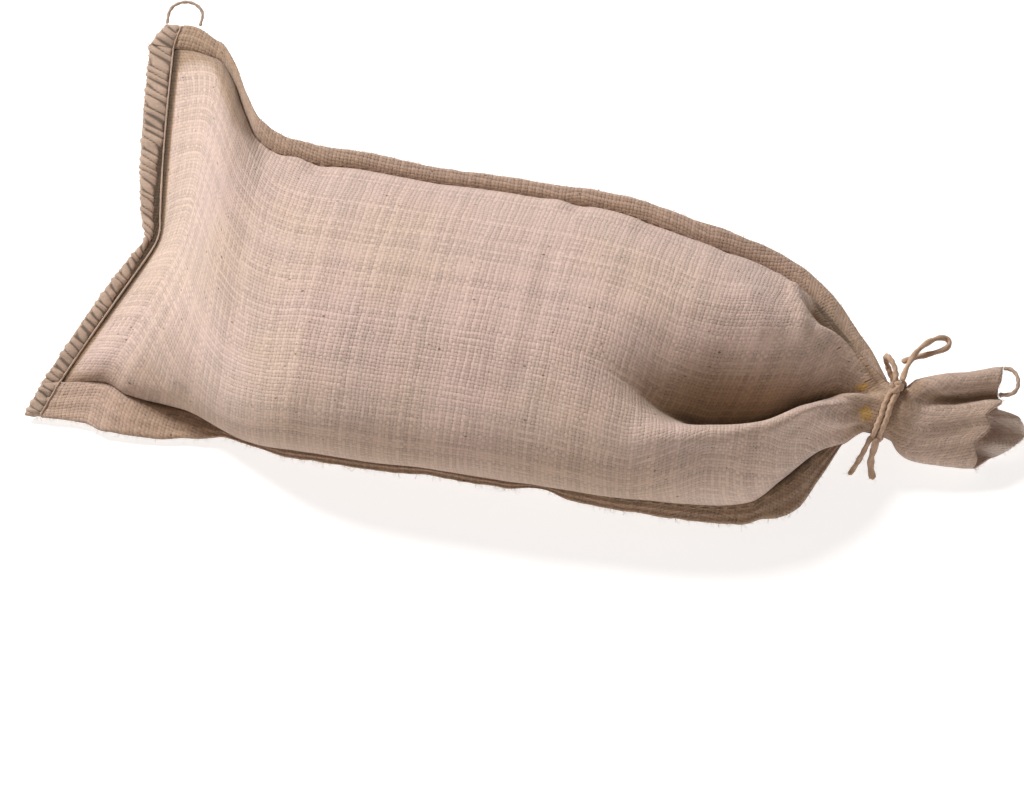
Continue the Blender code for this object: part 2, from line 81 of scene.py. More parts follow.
# The sack's form, with the same sections as its solid
SEAM_CLOTH = 3.2
SEAM_PRESSED = 0.5
SEAM_PRESSES = (240, 254)
FLANGE_ACROSS = 1.15
TUCK_PLACE = -0.09
TUCK_ENDS = (-307, -240)
CORNER_SLANT = 11.0
CORNER_ENDS = (-307, -290)
FLOOR_EASE = 3.0
FRILL_START_X = 270.0
MOUTH_X = 335.0
POCKET_X = 289.0
FOLDS_FULL = 0.6
FRILL_LIFT = 0.8
NECK_X = 262.0
NECK_PLEATS = 9
GATHER_DEPTH = 0.10
GATHER_GROWS = (200, 238)
GATHER_ENDS = (246, 255)
SEAM_SHARE = 0.006
PANEL_RADIUS = 105.0      # how far a panel lies from the sack's middle line, for sizes along its turn
GROOVE_WIDTH = 7.0        # how far from a side seam its groove reaches
FRILL_WALL = 1.6          # thickness of the gathered cloth
POCKET_DIP = 6.0          # how much deeper the middle of the frill's inside lies than its edge
BODY_ROWS = 232           # lines of points from the bottom seam to the tie
FRILL_ROWS = 36           # and from there to the mouth
UPPER_STEPS = 150         # steps across the upper cloth, between the side seams
LOWER_STEPS = 80
WELD = 1e-6

# Seams and twine
SEAM_BAND = 9.5           # width of the bottom seam's overcast edge
SEAM_NARROWS = 0.4        # how much narrower it is in its middle, as a share
SEAM_SCALLOP = 1.0        # how far its wraps stand past the edge
SEAM_GROOVE = (-298.5, 1.7, 1.2)   # the groove that they press into the cloth: place, width, depth
BOTTOM_WRAPS = 52
WRAP_STEPS = 12
WRAP_SLANT = 1.0          # how far a wrap runs along the seam on its way over the cloth, in wraps
WRAP_CLEAR = 0.25         # how far the grooves between wraps stay off the cloth
WRAP_RISE = 1.7           # how far the wraps stand over those grooves
ROLL_SIDES = 18
STITCH_SHARES = (0.2, 0.3)   # where the side seams are sewn, from the seam line out: far, near
STITCH_ENDS = (-240, 236)
STITCH_STEP = 4.6
TOUCH_GAP = 0.5
TURN_PITCH = 4.4
NECK_SIDES = 72
KNOT_SIZE = (5.2, 4.8, 4.0)
KNOT_STEP = 8
KNOT_STEPS = 60
PLY_LOBE = 0.14           # how far the twine's two plies stand out, as a share of its radius
TWINE_SLUB = 0.22         # how uneven its thickness is
TWINE_SLUB_LENGTH = 0.008
END_ROUND = 0.4           # how far a cut end's rounding reaches, in diameters
END_LEAST = 0.04
FIBRE_STEPS = 3
FIBRE_SIDES = 3
FIBRE_SEAM = (-300, 236, 2)   # the stretch of the side seams that has loose fibres, and their places' spacing
FIBRE_RIM = 120               # places round the mouth's rim
FIBRE_TWINE = 2               # how many times as many places the twine has
FIBRE_SPREAD = 0.7            # how far their directions scatter
FIBRE_SAG = 0.9               # how far they bend, in millimetres
FIBRE_LENGTHS = (1.5, 6.0)
FIBRE_WIDTH = 0.00024         # in metres

# Stains by the tie: where they are and how far they spread
STAINS = ((239.5, -19, 60, 5), (247.5, -38, 55, 8))
# Bark in the yarn: distance between places where a fleck may lie (metres), how rare one is, and its size there
FLECKS = ((0.0030, 0.992, 0.36), (0.0070, 0.993, 0.20))

# The stage, in metres
FLOOR_SIZE = 8.0
AIM_FLOOR_POINT = (-40, 43, 0)   # as the tables measure it
AIM_BELOW = 0.0771        # how far under that point the middle of the picture lies
KEY_PLACE = (-3.75, 1.45, 4.5)
KEY_SIZE = 1.8
FILL_PLACE = (1.2, -1.8, 1.4)
FILL_SIZE = 2.0

Seam = namedtuple("Seam", "x far_y far_z near_y near_z")
SEAMS = (
    Seam(-307, 128, 113, -126, 14),
    Seam(-290, 128, 115, -119, 14),
    Seam(-275, 125, 116, -114, 14),
    Seam(-262, 107, 117, -121, 14),
    Seam(-250, 81, 117, -122, 13),
    Seam(-236, 60, 115, -122, 12),
    Seam(-215, 53, 113, -129, 12),
    Seam(-190, 52, 113, -142, 18),
    Seam(-150, 53, 113, -152, 31),
    Seam(-40, 58, 114, -147, 35),
    Seam(30, 60, 113, -142, 32),
    Seam(100, 53, 107, -135, 29),
    Seam(150, 47, 96, -127, 27),
    Seam(180, 40, 87, -117, 25),
    Seam(200, 31, 80, -92, 29),
    Seam(213, 22, 74, -74, 32),
    Seam(223, 14, 70, -60, 31),
    Seam(236, 2, 64, -50, 31),
    Seam(252, -9, 59, -41, 35),
    Seam(262, -10, 58, -41, 35),
    Seam(275, -10, 56, -43, 30),
)

Bulge = namedtuple("Bulge", "x crown crown_lean belly belly_lean")
BULGES = (
    Bulge(-307, 2.3, 0, 2.3, 0),
    Bulge(-299, 2.3, 0, 2.3, 0),
    Bulge(-296, 2.6, 0, 2.0, 0),
    Bulge(-290, 13, 0, 11, 0),
    Bulge(-280, 29, 0, 27, 0),
    Bulge(-262, 49, -4, 50, -2),
    Bulge(-240, 66, -14, 68, -10),
    Bulge(-210, 77, -30, 84, -24),
    Bulge(-170, 81, -37, 94, -36),
    Bulge(-100, 81, -38, 96, -38),
    Bulge(30, 81, -38, 95, -38),
    Bulge(100, 78, -33, 87, -33),
    Bulge(150, 69, -22, 73, -22),
    Bulge(180, 58, -12, 57, -12),
    Bulge(200, 46, -6, 41, -6),
    Bulge(213, 37, -2, 31, -2),
    Bulge(223, 29, 0, 24, 0),
    Bulge(236, 21, 0, 17, 0),
    Bulge(252, 15, 0, 13, 0),
    Bulge(262, 14, 0, 12.5, 0),
    Bulge(275, 15, 0, 14, 0),
)

Reach = namedtuple("Reach", "x far near far_power near_power round")
REACHES = (
    Reach(-307, 31, 50, 0.50, 0.80, 0.03),
    Reach(-290, 17, 44, 0.80, 1.00, 0.15),
    Reach(-265, 7, 32, 1.50, 1.50, 0.40),
    Reach(-235, 1, 16, 2.0, 2.0, 0.50),
    Reach(-200, 0, 4, 2.0, 2.0, 0.50),
    Reach(-170, 0, 0, 2.0, 2.0, 0.50),
    Reach(225, 0, 0, 2.0, 2.0, 0.50),
    Reach(252, -5, 5, 1.0, 1.0, 0.30),
    Reach(275, -5, 5, 1.0, 1.0, 0.30),
)

Flange = namedtuple("Flange", "x far_width far_angle far_groove near_width near_angle near_groove")
FLANGES = (
    Flange(-307, 18, 18, 0, 26, 197, 0),
    Flange(-290, 19.5, 20, 0, 32, 194, 0),
    Flange(-275, 14, 26, 1, 35, 193, 0),
    Flange(-258, 12.5, 36, 3, 31, 192, 0),
    Flange(-237, 13.5, 46, 5, 27, 194, 1),
    Flange(-221, 12, 46, 5, 17, 198, 2),
    Flange(-206, 11, 46, 5, 6, 210, 2),
    Flange(-188, 11, 46, 5, 4, 218, 2),
    Flange(-160, 11, 46, 4, 7, 222, 2),
    Flange(-90, 9, 46, 4, 7, 224, 3),
    Flange(0, 9.5, 46, 5, 6, 226, 3),
    Flange(28, 10, 48, 5, 3, 226, 2),
    Flange(50, 11, 48, 5, 8, 226, 3),
    Flange(90, 12, 48, 5, 10, 226, 3),
    Flange(140, 13, 47, 5, 12, 222, 3),
    Flange(185, 14, 46, 8, 16, 212, 3),
    Flange(200, 15, 46, 11, 31, 208, 3),
    Flange(213, 14, 46, 10, 38, 207, 3),
    Flange(223, 12, 46, 8, 25, 207, 3),
    Flange(236, 9, 42, 4, 6, 214, 1),
    Flange(253, -0.2, 38, 0.5, -0.2, 218, 0.5),
    Flange(275, -0.2, 38, 0.5, -0.2, 218, 0.5),
)

Trough = namedtuple("Trough", "x y far_width near_width depth")
TROUGH = (
    Trough(25, -86, 36, 40, 0),
    Trough(55, -94, 46, 46, 5),
    Trough(82, -97, 62, 46, 18),
    Trough(110, -98, 76, 38, 38),
    Trough(150, -88, 82, 29, 53),
    Trough(180, -71, 68, 27, 48),
    Trough(205, -45, 46, 24, 36),
    Trough(230, -26, 26, 16, 18),
    Trough(250, -19, 16, 12, 5),
    Trough(262, -18, 14, 12, 0),
)

Frill = namedtuple("Frill", "x y z slant long_size short_size")
FRILLS = (
    Frill(268, -26, 46.5, 37, 21, 14.5),
    Frill(274, -25, 42, 40, 27, 17),
    Frill(284, -22, 38, 42, 32, 19),
    Frill(296, -18, 36, 40, 35, 20),
    Frill(312, -12, 32, 34, 37, 20),
    Frill(335, -2, 28, 26, 40, 20),
    Frill(365, 4, 24, 22, 40, 20),
)

Fold = namedtuple("Fold", "along across past")
FOLDS = (
    Fold(1.00, 0.02, 0),
    Fold(0.84, 0.50, 1),
    Fold(0.60, 0.50, 1),
    Fold(0.43, 0.06, 1),
    Fold(0.28, 0.62, 6),
    Fold(0.02, 0.92, -2),
    Fold(-0.26, 0.86, 2),
    Fold(-0.54, 0.86, -6),
    Fold(-0.84, 0.52, -3),
    Fold(-0.94, -0.10, -5),
    Fold(-0.66, -0.76, 4),
    Fold(-0.40, -0.36, 20),
    Fold(-0.14, -0.88, 24),
    Fold(0.10, -0.40, 20),
    Fold(0.28, -0.86, 2),
    Fold(0.50, -0.34, -2),
    Fold(0.80, -0.56, 0),
)

# How the cloth's lines of points are spaced from the bottom seam to the tie: share of the lines, place
Station = namedtuple("Station", "x place")
STATIONS = (
    Station(0.0, -307),
    Station(0.035, -299),
    Station(0.075, -293),
    Station(0.14, -278),
    Station(0.24, -240),
    Station(0.80, 150),
    Station(0.93, 228),
    Station(1.0, 266),
)

# The side seams' edges, from the seam line out: how thick the turned-in cloth is on each side of the middle
Welt = namedtuple("Welt", "x far near")
WELTS = (
    Welt(0.0, 1.0, 1.4),
    Welt(0.2, 2.2, 2.0),
    Welt(0.4, 3.2, 0.9),
    Welt(0.56, 3.0, 2.1),
    Welt(0.74, 2.3, 1.0),
    Welt(0.9, 1.9, 1.9),
    Welt(0.96, 1.2, 1.3),
    Welt(1.0, 0.0, 0.0),
)

# Where the cloth lies slack by the seams: the turns up to which it does from the far one, and from the near one
Slack = namedtuple("Slack", "x far near")
SLACKS = (
    Slack(-307, 54, 130),
    Slack(-299, 36, 146),
    Slack(-290, 24, 158),
    Slack(-280, 22, 170),
    Slack(-265, 34, 182),
    Slack(-252, 31, 190),
    Slack(-238, 12, 184),
    Slack(-222, -8, 178),
    Slack(-200, -20, 200),
    Slack(180, -20, 200),
    Slack(190, 16, 198),
    Slack(200, 30, 194),
    Slack(212, 35, 190),
    Slack(232, 38, 176),
    Slack(250, 50, 160),
)
HOLLOW_PAINTED_BROWN = 1.0        # painted shade: how brown the hollow is painted
HOLLOW_SUNK = (6, 34)     # how deep it has sunk where that painted shade starts and is full
HOLLOW_PAINTED_DARK = 0.35        # painted shade: how much darker its deepest part is painted
HOLLOW_DEEP = (20, 50)
MOUTH_BROWN = 0.42       # how brown the gathered cloth is
PAINTED_LIGHT_FOLD = (12.0, 2.2)   # painted light: which fold of the mouth ends in pale, open cloth, painted paler where it lies in shade, and how many it takes in each way
PAINTED_LIGHT_MOST = 0.8           # painted light: how much paler than the rest the palest cloth is painted
PAINTED_LIGHT_CORNER = (-283, 146, 17, 15)   # painted light: where the panel is painted palest, by the near corner that faces the light: place, turn, reach of each
RECESS_PAINTED_SHADE = 0.5         # painted shade: how much darker the recess past the peak is painted
PAINTED_LIGHT_ENDS = (0.6, 0.9)   # how far along the gathered cloth that painted light starts and is full
SLOT_FOLD = (3.05, 0.75)  # painted shadow: the slot under the mouth's top fold, where that fold's shadow falls, and how many folds it takes in each way
SLOT_PAINTED_SHADOW = 0.85
SLOT_ENDS = (0.08, 0.4)
SEAM_BROWN_AND_SHADE = (-303.5, -296.5, -293.5)   # the cloth by the bottom seam is brown, with painted shade under its wraps: up to its bead, and where that ends
SLACK_EASE = 6.0
NECK_SLACK = (226, 252)
# Painted shade: the lower cloth and the near side of the upper panel are painted brown; turns over which that
# starts and is full
UNDER_PAINTED_SHADE = 0.75
UNDER_TURNS = (112, 156)

# Creases and soft ridges: a line from one place on the cloth to another, its width, how deep it is (less
# than nothing stands out), and how many times wider it is on its left, looking along it from above
Crease = namedtuple("Crease", "x turn to_x to_turn width depth left_times", defaults=(1.0,))
CREASES = (
    # pressed folds from when the sack lay folded flat
    Crease(-218, 60, -209, 105, 7, 1.1),
    Crease(-209, 105, -216, 122, 7, 0.9),
    Crease(-212, 66, -203, 104, 8, -0.7),
    Crease(2, 40, 8, 70, 7, 0.9),
    Crease(8, 70, 2, 112, 7, 0.8),
    Crease(-6, 45, -2, 100, 9, -0.6),
    # the slumped hollow's sharp near edge and the fold that runs on from it to the tie
    Crease(118, 89, 150, 89, 4, 3.0, 3),
    Crease(146, 89, 190, 90, 4, 5.0, 3),
    Crease(190, 88, 222, 66, 4, 5.0, 2.5),
    Crease(222, 64, 242, 44, 3.5, 4.0, 2),
    Crease(100, 113, 170, 115, 11, -2.5),
    Crease(190, 116, 238, 96, 11, -4.0),
    # the peak past the hollow and the recess under the far seam
    Crease(147, 36, 168, 58, 9, -2.4),
    Crease(160, 14, 182, 22, 10, -3.0),
    Crease(178, 20, 190, 40, 7, -5.0),
    Crease(190, 40, 197, 62, 7, -4.0),
    Crease(191, 26, 214, 32, 9, 11.0),
    Crease(198, 14, 232, 16, 8, 5.0),
    Crease(204, 46, 242, 34, 8, -4.0),
    # puckers drawn in by the far seam
    Crease(-232, 8, -226, 24, 8, 2.0),
    Crease(-206, 4, -200, 18, 9, -1.6),
    Crease(-189, 4, -182, 18, 8, 1.6),
    Crease(6, 4, 14, 18, 9, 2.2),
    Crease(-8, 4, -4, 16, 10, -1.4),
    Crease(60, 4, 74, 16, 10, 1.0),
    Crease(120, 4, 128, 16, 9, 1.2),
    # the near ear's fold
    Crease(-282, 134, -250, 150, 10, 3.0),
    Crease(-262, 128, -236, 142, 12, -2.0),
)
CREASE_FADE = 0.18        # share of a crease's length over which it dies away at each end

# Loose ends and the standing turn of the tie, each from where it leaves the sack
TIE_TOP_ROUTE = (
    (268.6, -12.4, 67.4), (269.0, -6.8, 68.6), (269.8, -0.8, 69.6), (271.0, 5.4, 70.2), (273.0, 12.4, 70.3),
    (275.8, 19.6, 69.6), (279.2, 26.6, 67.6), (283.0, 33.0, 64.8), (286.8, 37.8, 61.8), (290.6, 39.8, 59.4),
    (293.4, 38.2, 58.0), (293.4, 34.2, 57.8), (290.4, 29.6, 58.6), (285.4, 24.8, 60.0), (279.6, 19.8, 61.6),
    (273.8, 14.8, 63.4), (268.8, 10.0, 65.2), (264.6, 5.6, 66.8),
)
TIE_FRONT_ROUTE = (
    (257.8, -49.0, 36.2), (257.2, -50.3, 31.2), (256.2, -51.2, 26.2), (255.6, -51.9, 21.2), (255.4, -52.6, 16.2),
    (255.6, -53.4, 11.2), (256.3, -54.3, 7.2), (257.4, -55.8, 4.4), (258.8, -58.2, 3.1),
)
TIE_SIDE_ROUTE = (
    (252.6, -47.1, 35.2), (250.8, -49.5, 29.6), (249.0, -51.3, 24.0), (247.2, -52.2, 18.4), (245.3, -53.1, 12.9),
    (243.4, -54.3, 8.0), (241.8, -55.8, 4.6), (240.2, -57.9, 2.6),
)
FRONT_LEAD_IN = ((259.4, -45.4, 39.5),)   # where these two leave the turns
SIDE_LEAD_IN = ((255.2, -45.4, 39.1),)
SELVEDGE_ROUTE = (
    (335.7, 33.2, 45.8), (341.0, 33.3, 46.0), (345.6, 30.8, 45.2), (348.2, 26.6, 44.2), (349.2, 22.0, 43.0),
    (348.6, 18.6, 41.8), (346.4, 16.0, 40.4), (342.4, 14.6, 39.2), (336.5, 14.3, 37.9),
)
TIE_ARCH_ROUTE = (
    (264.2, -14.6, 66.4), (263.4, -9.4, 68.6), (261.4, -4.0, 70.8), (258.2, 0.4, 71.9), (254.8, 4.4, 71.0),
    (252.4, 7.2, 67.8), (251.9, 7.8, 63.0), (253.6, 6.8, 57.2), (257.0, 3.2, 52.4), (260.6, -2.0, 49.4),
    (263.2, -6.4, 48.2),
)
THREAD_ROUTE = (
    (-329.7, 145.7, 118.8), (-330.2, 150.3, 120.8), (-330.0, 154.5, 122.8), (-328.3, 158.1, 124.6),
    (-325.0, 160.9, 125.8), (-320.8, 162.9, 126.4), (-315.5, 163.4, 126.6), (-310.3, 162.0, 126.0),
    (-306.4, 159.0, 124.9), (-304.8, 155.2, 123.6), (-304.7, 151.0, 122.7), (-304.6, 147.0, 122.0),
)


def blend_rows(rows, x):
    """The columns of a table at x, on a smooth curve through its rows that doesn't overshoot them."""
    return _blend_rows(rows, round(x, 4))


@lru_cache(maxsize=20000)
def _blend_rows(rows, x):
    if x <= rows[0].x:
        return rows[0]
    if x >= rows[-1].x:
        return rows[-1]
    upper = next(i for i, row in enumerate(rows) if row.x > x)
    left, right = rows[upper - 1], rows[upper]
    before, after = rows[max(upper - 2, 0)], rows[min(upper + 1, len(rows) - 1)]
    span = right.x - left.x
    share = (x - left.x) / span
    columns = []
    for a, b, c, d in zip(left, right, before, after):
        here = (b - a) / span
        start = here if before is left else even_slope((a - c) / (left.x - before.x), here)
        end = here if after is right else even_slope(here, (d - b) / (after.x - right.x))
        columns.append(hermite(a, b, start * span, end * span, share))
    return type(left)(*columns)


def even_slope(before, after):
    """A slope between two others that keeps the curve from overshooting: none where they disagree."""
    if before * after <= 0:
        return 0.0
    return 2 * before * after / (before + after)


def hermite(a, b, slope_a, slope_b, share):
    """A share of the way along the smooth curve from a to b that has these slopes at its ends."""
    square, cube = share * share, share ** 3
    rise = 3 * square - 2 * cube
    return (1 - rise) * a + rise * b + (cube - 2 * square + share) * slope_a + (cube - square) * slope_b


def ease(value, low, high):
    """0 below low, 1 above high and a smooth step between."""
    share = min(max((value - low) / (high - low), 0.0), 1.0)
    return share * share * (3 - 2 * share)


def rest_on_floor(z):
    """Heights under the floor come up to it, with an eased edge."""
    if z >= FLOOR_EASE:
        return z
    if z <= -FLOOR_EASE:
        return 0.0
    return (z + FLOOR_EASE) ** 2 / (4 * FLOOR_EASE)


def metres(point):
    """A point of the tables in metres from the sack's own origin."""
    return (Vector(point) - ORIGIN) * MM


def direction(degrees):
    """The unit vector across the sack at an angle from +Y towards +Z."""
    angle = math.radians(degrees)
    return Vector((0, math.cos(angle), math.sin(angle)))


def ear_reach(x, across):
    """How far a point of the section at x is drawn back; across runs from -1 at the near seam to 1."""
    row = blend_rows(REACHES, x)
    across -= TUCK_PLACE * (1 - ease(x, *TUCK_ENDS)) * (1 - abs(across))
    reach, power = (row.far, row.far_power) if across > 0 else (row.near, row.near_power)
    soft = row.round ** 2
    whole = (1 + soft) ** (power / 2) - soft ** (power / 2)
    return reach * ((across * across + soft) ** (power / 2) - soft ** (power / 2)) / whole


def trough_depth(x, y):
    """How far the top has sunk at x, y: round shoulders that run straight down into a crease."""
    if not TROUGH[0].x < x < TROUGH[-1].x:
        return 0.0
    row = blend_rows(TROUGH, x)
    away = y - row.y
    share = min(abs(away) / (row.far_width if away > 0 else row.near_width), 1.0)
    return row.depth * (1 - share * (3 - share * share) / 2)


def crease_depth(x, turn):
    """How far the creases sink the cloth at x and turn (in degrees)."""
    depth = 0.0
    arc = math.radians(1) * PANEL_RADIUS
    for crease in CREASES:
        if abs(turn - (crease.turn + crease.to_turn) / 2) > 75:
            continue
        along_x, along_turn = crease.to_x - crease.x, (crease.to_turn - crease.turn) * arc
        from_x, from_turn = x - crease.x, (turn - crease.turn) * arc
        length = math.hypot(along_x, along_turn)
        share = (from_x * along_x + from_turn * along_turn) / length ** 2
        if not -0.2 < share < 1.2:
            continue
        left = (from_x * along_turn - from_turn * along_x) / length
        width = crease.width * (crease.left_times if left > 0 else 1)
        if abs(left) > 3 * width:
            continue
        fade = ease(share, -CREASE_FADE, CREASE_FADE) * (1 - ease(share, 1 - CREASE_FADE, 1 + CREASE_FADE))
        depth += crease.depth * math.exp(-(left / width) ** 2) * fade
    return depth


def unevenness(x, turn):
    """The filling's soft lumps and the cloth's own small unevenness."""
    place = Vector((x, turn * PANEL_RADIUS * math.radians(1), 0))
    lumps = noise.noise(place / 62 + Vector((3, 7, 1))) * 1.7
    ripples = noise.noise(place / 24 + Vector((11, 2, 5))) * 0.55
    return lumps + ripples + noise.noise(place / 9 + Vector((5, 5, 9))) * 0.12


def seam_waver(x, far_side):
    """How the hand-sewn seam wanders in and out along its length."""
    start = Vector((x / 21, 4.0 if far_side else 9.0, 0))
    return noise.noise(start) * 1.1 + noise.noise(start * 2.7) * 0.5


@lru_cache(maxsize=4000)
def section(x):
    """What a section needs for its points: middle, half width, outward and lean directions, bulges."""
    seam, bulge = blend_rows(SEAMS, x), blend_rows(BULGES, x)
    far, near = Vector((x, seam.far_y, seam.far_z)), Vector((x, seam.near_y, seam.near_z))
    half = (far - near) / 2
    along = half.normalized()
    return (far + near) / 2, half, Vector((0, -along.z, along.y)), along, bulge


def plain_point(x, turn):
    """A point of the cloth without its creases, at a turn in radians."""
    middle, half, out, along, bulge = section(x)
    lift = math.sin(turn)
    crown, lean = (bulge.crown, bulge.crown_lean) if lift > 0 else (bulge.belly, bulge.belly_lean)
    point = middle + half * math.cos(turn) + (out * crown + along * lean) * lift
    gather = math.cos(NECK_PLEATS * turn) * ease(x, *GATHER_GROWS) * (1 - ease(x, *GATHER_ENDS))
    point += (point - middle) * GATHER_DEPTH * gather
    if lift > 0:
        point.z -= trough_depth(x, point.y)
    point.x -= ear_reach(x, math.cos(turn))
    return point


def panel_point(x, turn):
    """A point of the filled cloth with its creases, drawn down into the groove along each seam."""
    point = plain_point(x, turn)
    middle, half, *_ = section(x)
    out = point - middle
    out.x = 0
    out.normalize()
    filled = ease(x, -296, -270) * (1 - ease(x, 236, 254))
    degrees = math.degrees(turn)
    point += out * (unevenness(x, degrees) - crease_depth(x, degrees)) * filled
    groove_x, groove_width, groove_depth = SEAM_GROOVE
    point -= out * groove_depth * math.exp(-((x - groove_x) / groove_width) ** 2)
    row = blend_rows(FLANGES, x)
    from_seam = min(turn, abs(turn - math.pi), 2 * math.pi - turn) * PANEL_RADIUS
    far_side = math.cos(turn) > 0
    groove = row.far_groove if far_side else row.near_groove
    angle = row.far_angle if far_side else row.near_angle
    point -= direction(angle) * groove * math.exp(-(from_seam / GROOVE_WIDTH) ** 2)
    return point


def flange_point(x, share, far_side, above):
    """A point of a side seam's edge: share from the seam line out to the tip, on its upper or lower face."""
    row = blend_rows(FLANGES, x)
    if far_side:
        root, width, angle, groove = panel_point(x, 0), row.far_width, row.far_angle, row.far_groove
    else:
        root, width, angle, groove = panel_point(x, math.pi), row.near_width, row.near_angle, row.near_groove
    open_share = 1 - ease(x, *SEAM_PRESSES)
    out = direction(angle)
    up = direction(angle + (90 if far_side else -90))
    welt = blend_rows(WELTS, share)
    half = (welt.far if far_side else welt.near) * (1 - SEAM_PRESSED * (1 - open_share))
    stretch = max(width + groove, 0) + seam_waver(x, far_side) * open_share * share
    point = root + out * stretch * share + up * half * (1 if above else -1)
    if width > 0:
        side = 1 if far_side else -1
        point.x -= (ear_reach(x, side * FLANGE_ACROSS) - ear_reach(x, side)) * share
    if far_side:
        point.x += CORNER_SLANT * (1 - ease(x, *CORNER_ENDS)) * share
    return point


# How a column of the cloth lies: on a seam's edge or on the panel, and where on it
Column = namedtuple("Column", "part share")
FLANGE_SHARES = (1.0, 0.97, 0.92, 0.86, 0.78, 0.70, 0.62, 0.54, 0.44, 0.32, 0.18, 0.0)


def sheet_columns(steps):
    """The columns of one sheet of the sack, from the far seam's tip across to the near seam's."""
    far = [Column("far", share) for share in FLANGE_SHARES]
    panel = [Column("panel", i / steps) for i in range(1, steps)]
    near = [Column("near", share) for share in reversed(FLANGE_SHARES)]
    return far + panel + near


def body_point(x, column, above):
    """A point of the upper or lower sheet between the bottom seam and the tie."""
    if column.part == "panel":
        turn = math.pi * column.share if above else 2 * math.pi - math.pi * column.share
        point = panel_point(x, turn)
    else:
        point = flange_point(x, column.share, column.part == "far", above)
    point.z = rest_on_floor(point.z)
    return point


def round_share(column, above):
    """How far round the neck a column lies, from the far seam."""
    if column.part == "panel":
        share = column.share / 2
    elif column.part == "far":
        share = SEAM_SHARE * (1 - column.share)
    else:
        share = 0.5 - SEAM_SHARE * (1 - column.share)
    return share if above else 1 - share


def closed_curve(rows, share):
    """The columns of a round table at share of the way round, on a smooth closed curve through its rows."""
    place = share * len(rows)
    first = int(place) % len(rows)
    before, a, b, after = (rows[(first + step) % len(rows)] for step in (-1, 0, 1, 2))
    here = place - int(place)
    return [hermite(q, r, (r - p) / 2, (s - q) / 2, here) for p, q, r, s in zip(before, a, b, after)]


def frill_outline(share, row, folded):
    """A point of the frill's outline in its own plane, from a plain oval (folded 0) to its folds (1)."""
    turn = 2 * math.pi * share
    oval = Vector((math.cos(turn) * row.long_size, math.sin(turn) * row.short_size))
    along, across, _ = closed_curve(FOLDS, share % 1)
    return oval.lerp(Vector((along * row.long_size, across * row.short_size)), folded)


def frill_point(share, step, depth, inside):
    """A point of the gathered cloth: share round the outline, depth from the neck (0) to the mouth (1)."""
    start = FRILL_START_X - ear_reach(FRILL_START_X, math.cos(2 * math.pi * share))
    past = closed_curve(FOLDS, share % 1)[2]
    x = start + (MOUTH_X + past - start) * depth
    row = blend_rows(FRILLS, x)
    folded = ease(depth, 0, FOLDS_FULL)
    before, here, after = (frill_outline(share + offset, row, folded) for offset in (-step, 0, step))
    run = (after - before).normalized()
    inward = Vector((-run.y, run.x))
    crumple = noise.noise(Vector((x / 13, math.cos(2 * math.pi * share) * 3, math.sin(2 * math.pi * share) * 3)))
    flat = here + inward * ((FRILL_WALL if inside else 0) + crumple * 0.7 * folded)
    point = Vector((x, row.y, row.z)) + direction(row.slant) * flat.x + direction(row.slant + 90) * flat.y
    point.z = max(rest_on_floor(point.z - FRILL_LIFT) + FRILL_LIFT, FRILL_LIFT)
    return point


def sheet_points(steps, above, other_steps):
    """All rows of one sheet, from the bottom seam to the mouth and back down inside it."""
    columns = sheet_columns(steps)
    total = steps + other_steps + 4 * (len(FLANGE_SHARES) - 1)
    rows = []
    for i in range(BODY_ROWS + 1):
        x = blend_rows(STATIONS, i / BODY_ROWS).place
        rows.append([body_point(x, column, above) for column in columns])
    pocket = (POCKET_X - FRILL_START_X) / (MOUTH_X - FRILL_START_X)
    outside = [(i / FRILL_ROWS, False) for i in range(1, FRILL_ROWS + 1)]
    inside = [(depth, True) for depth, _ in reversed(outside) if depth > pocket]
    for depth, inner in outside + inside:
        spread = ease(depth, 0, FOLDS_FULL)
        row = []
        for i, column in enumerate(columns):
            plain = round_share(column, above)
            even = i / total if above else 1 - i / total
            row.append(frill_point(plain + (even - plain) * spread, 1 / total, depth, inner))
        rows.append(row)
    return columns, rows


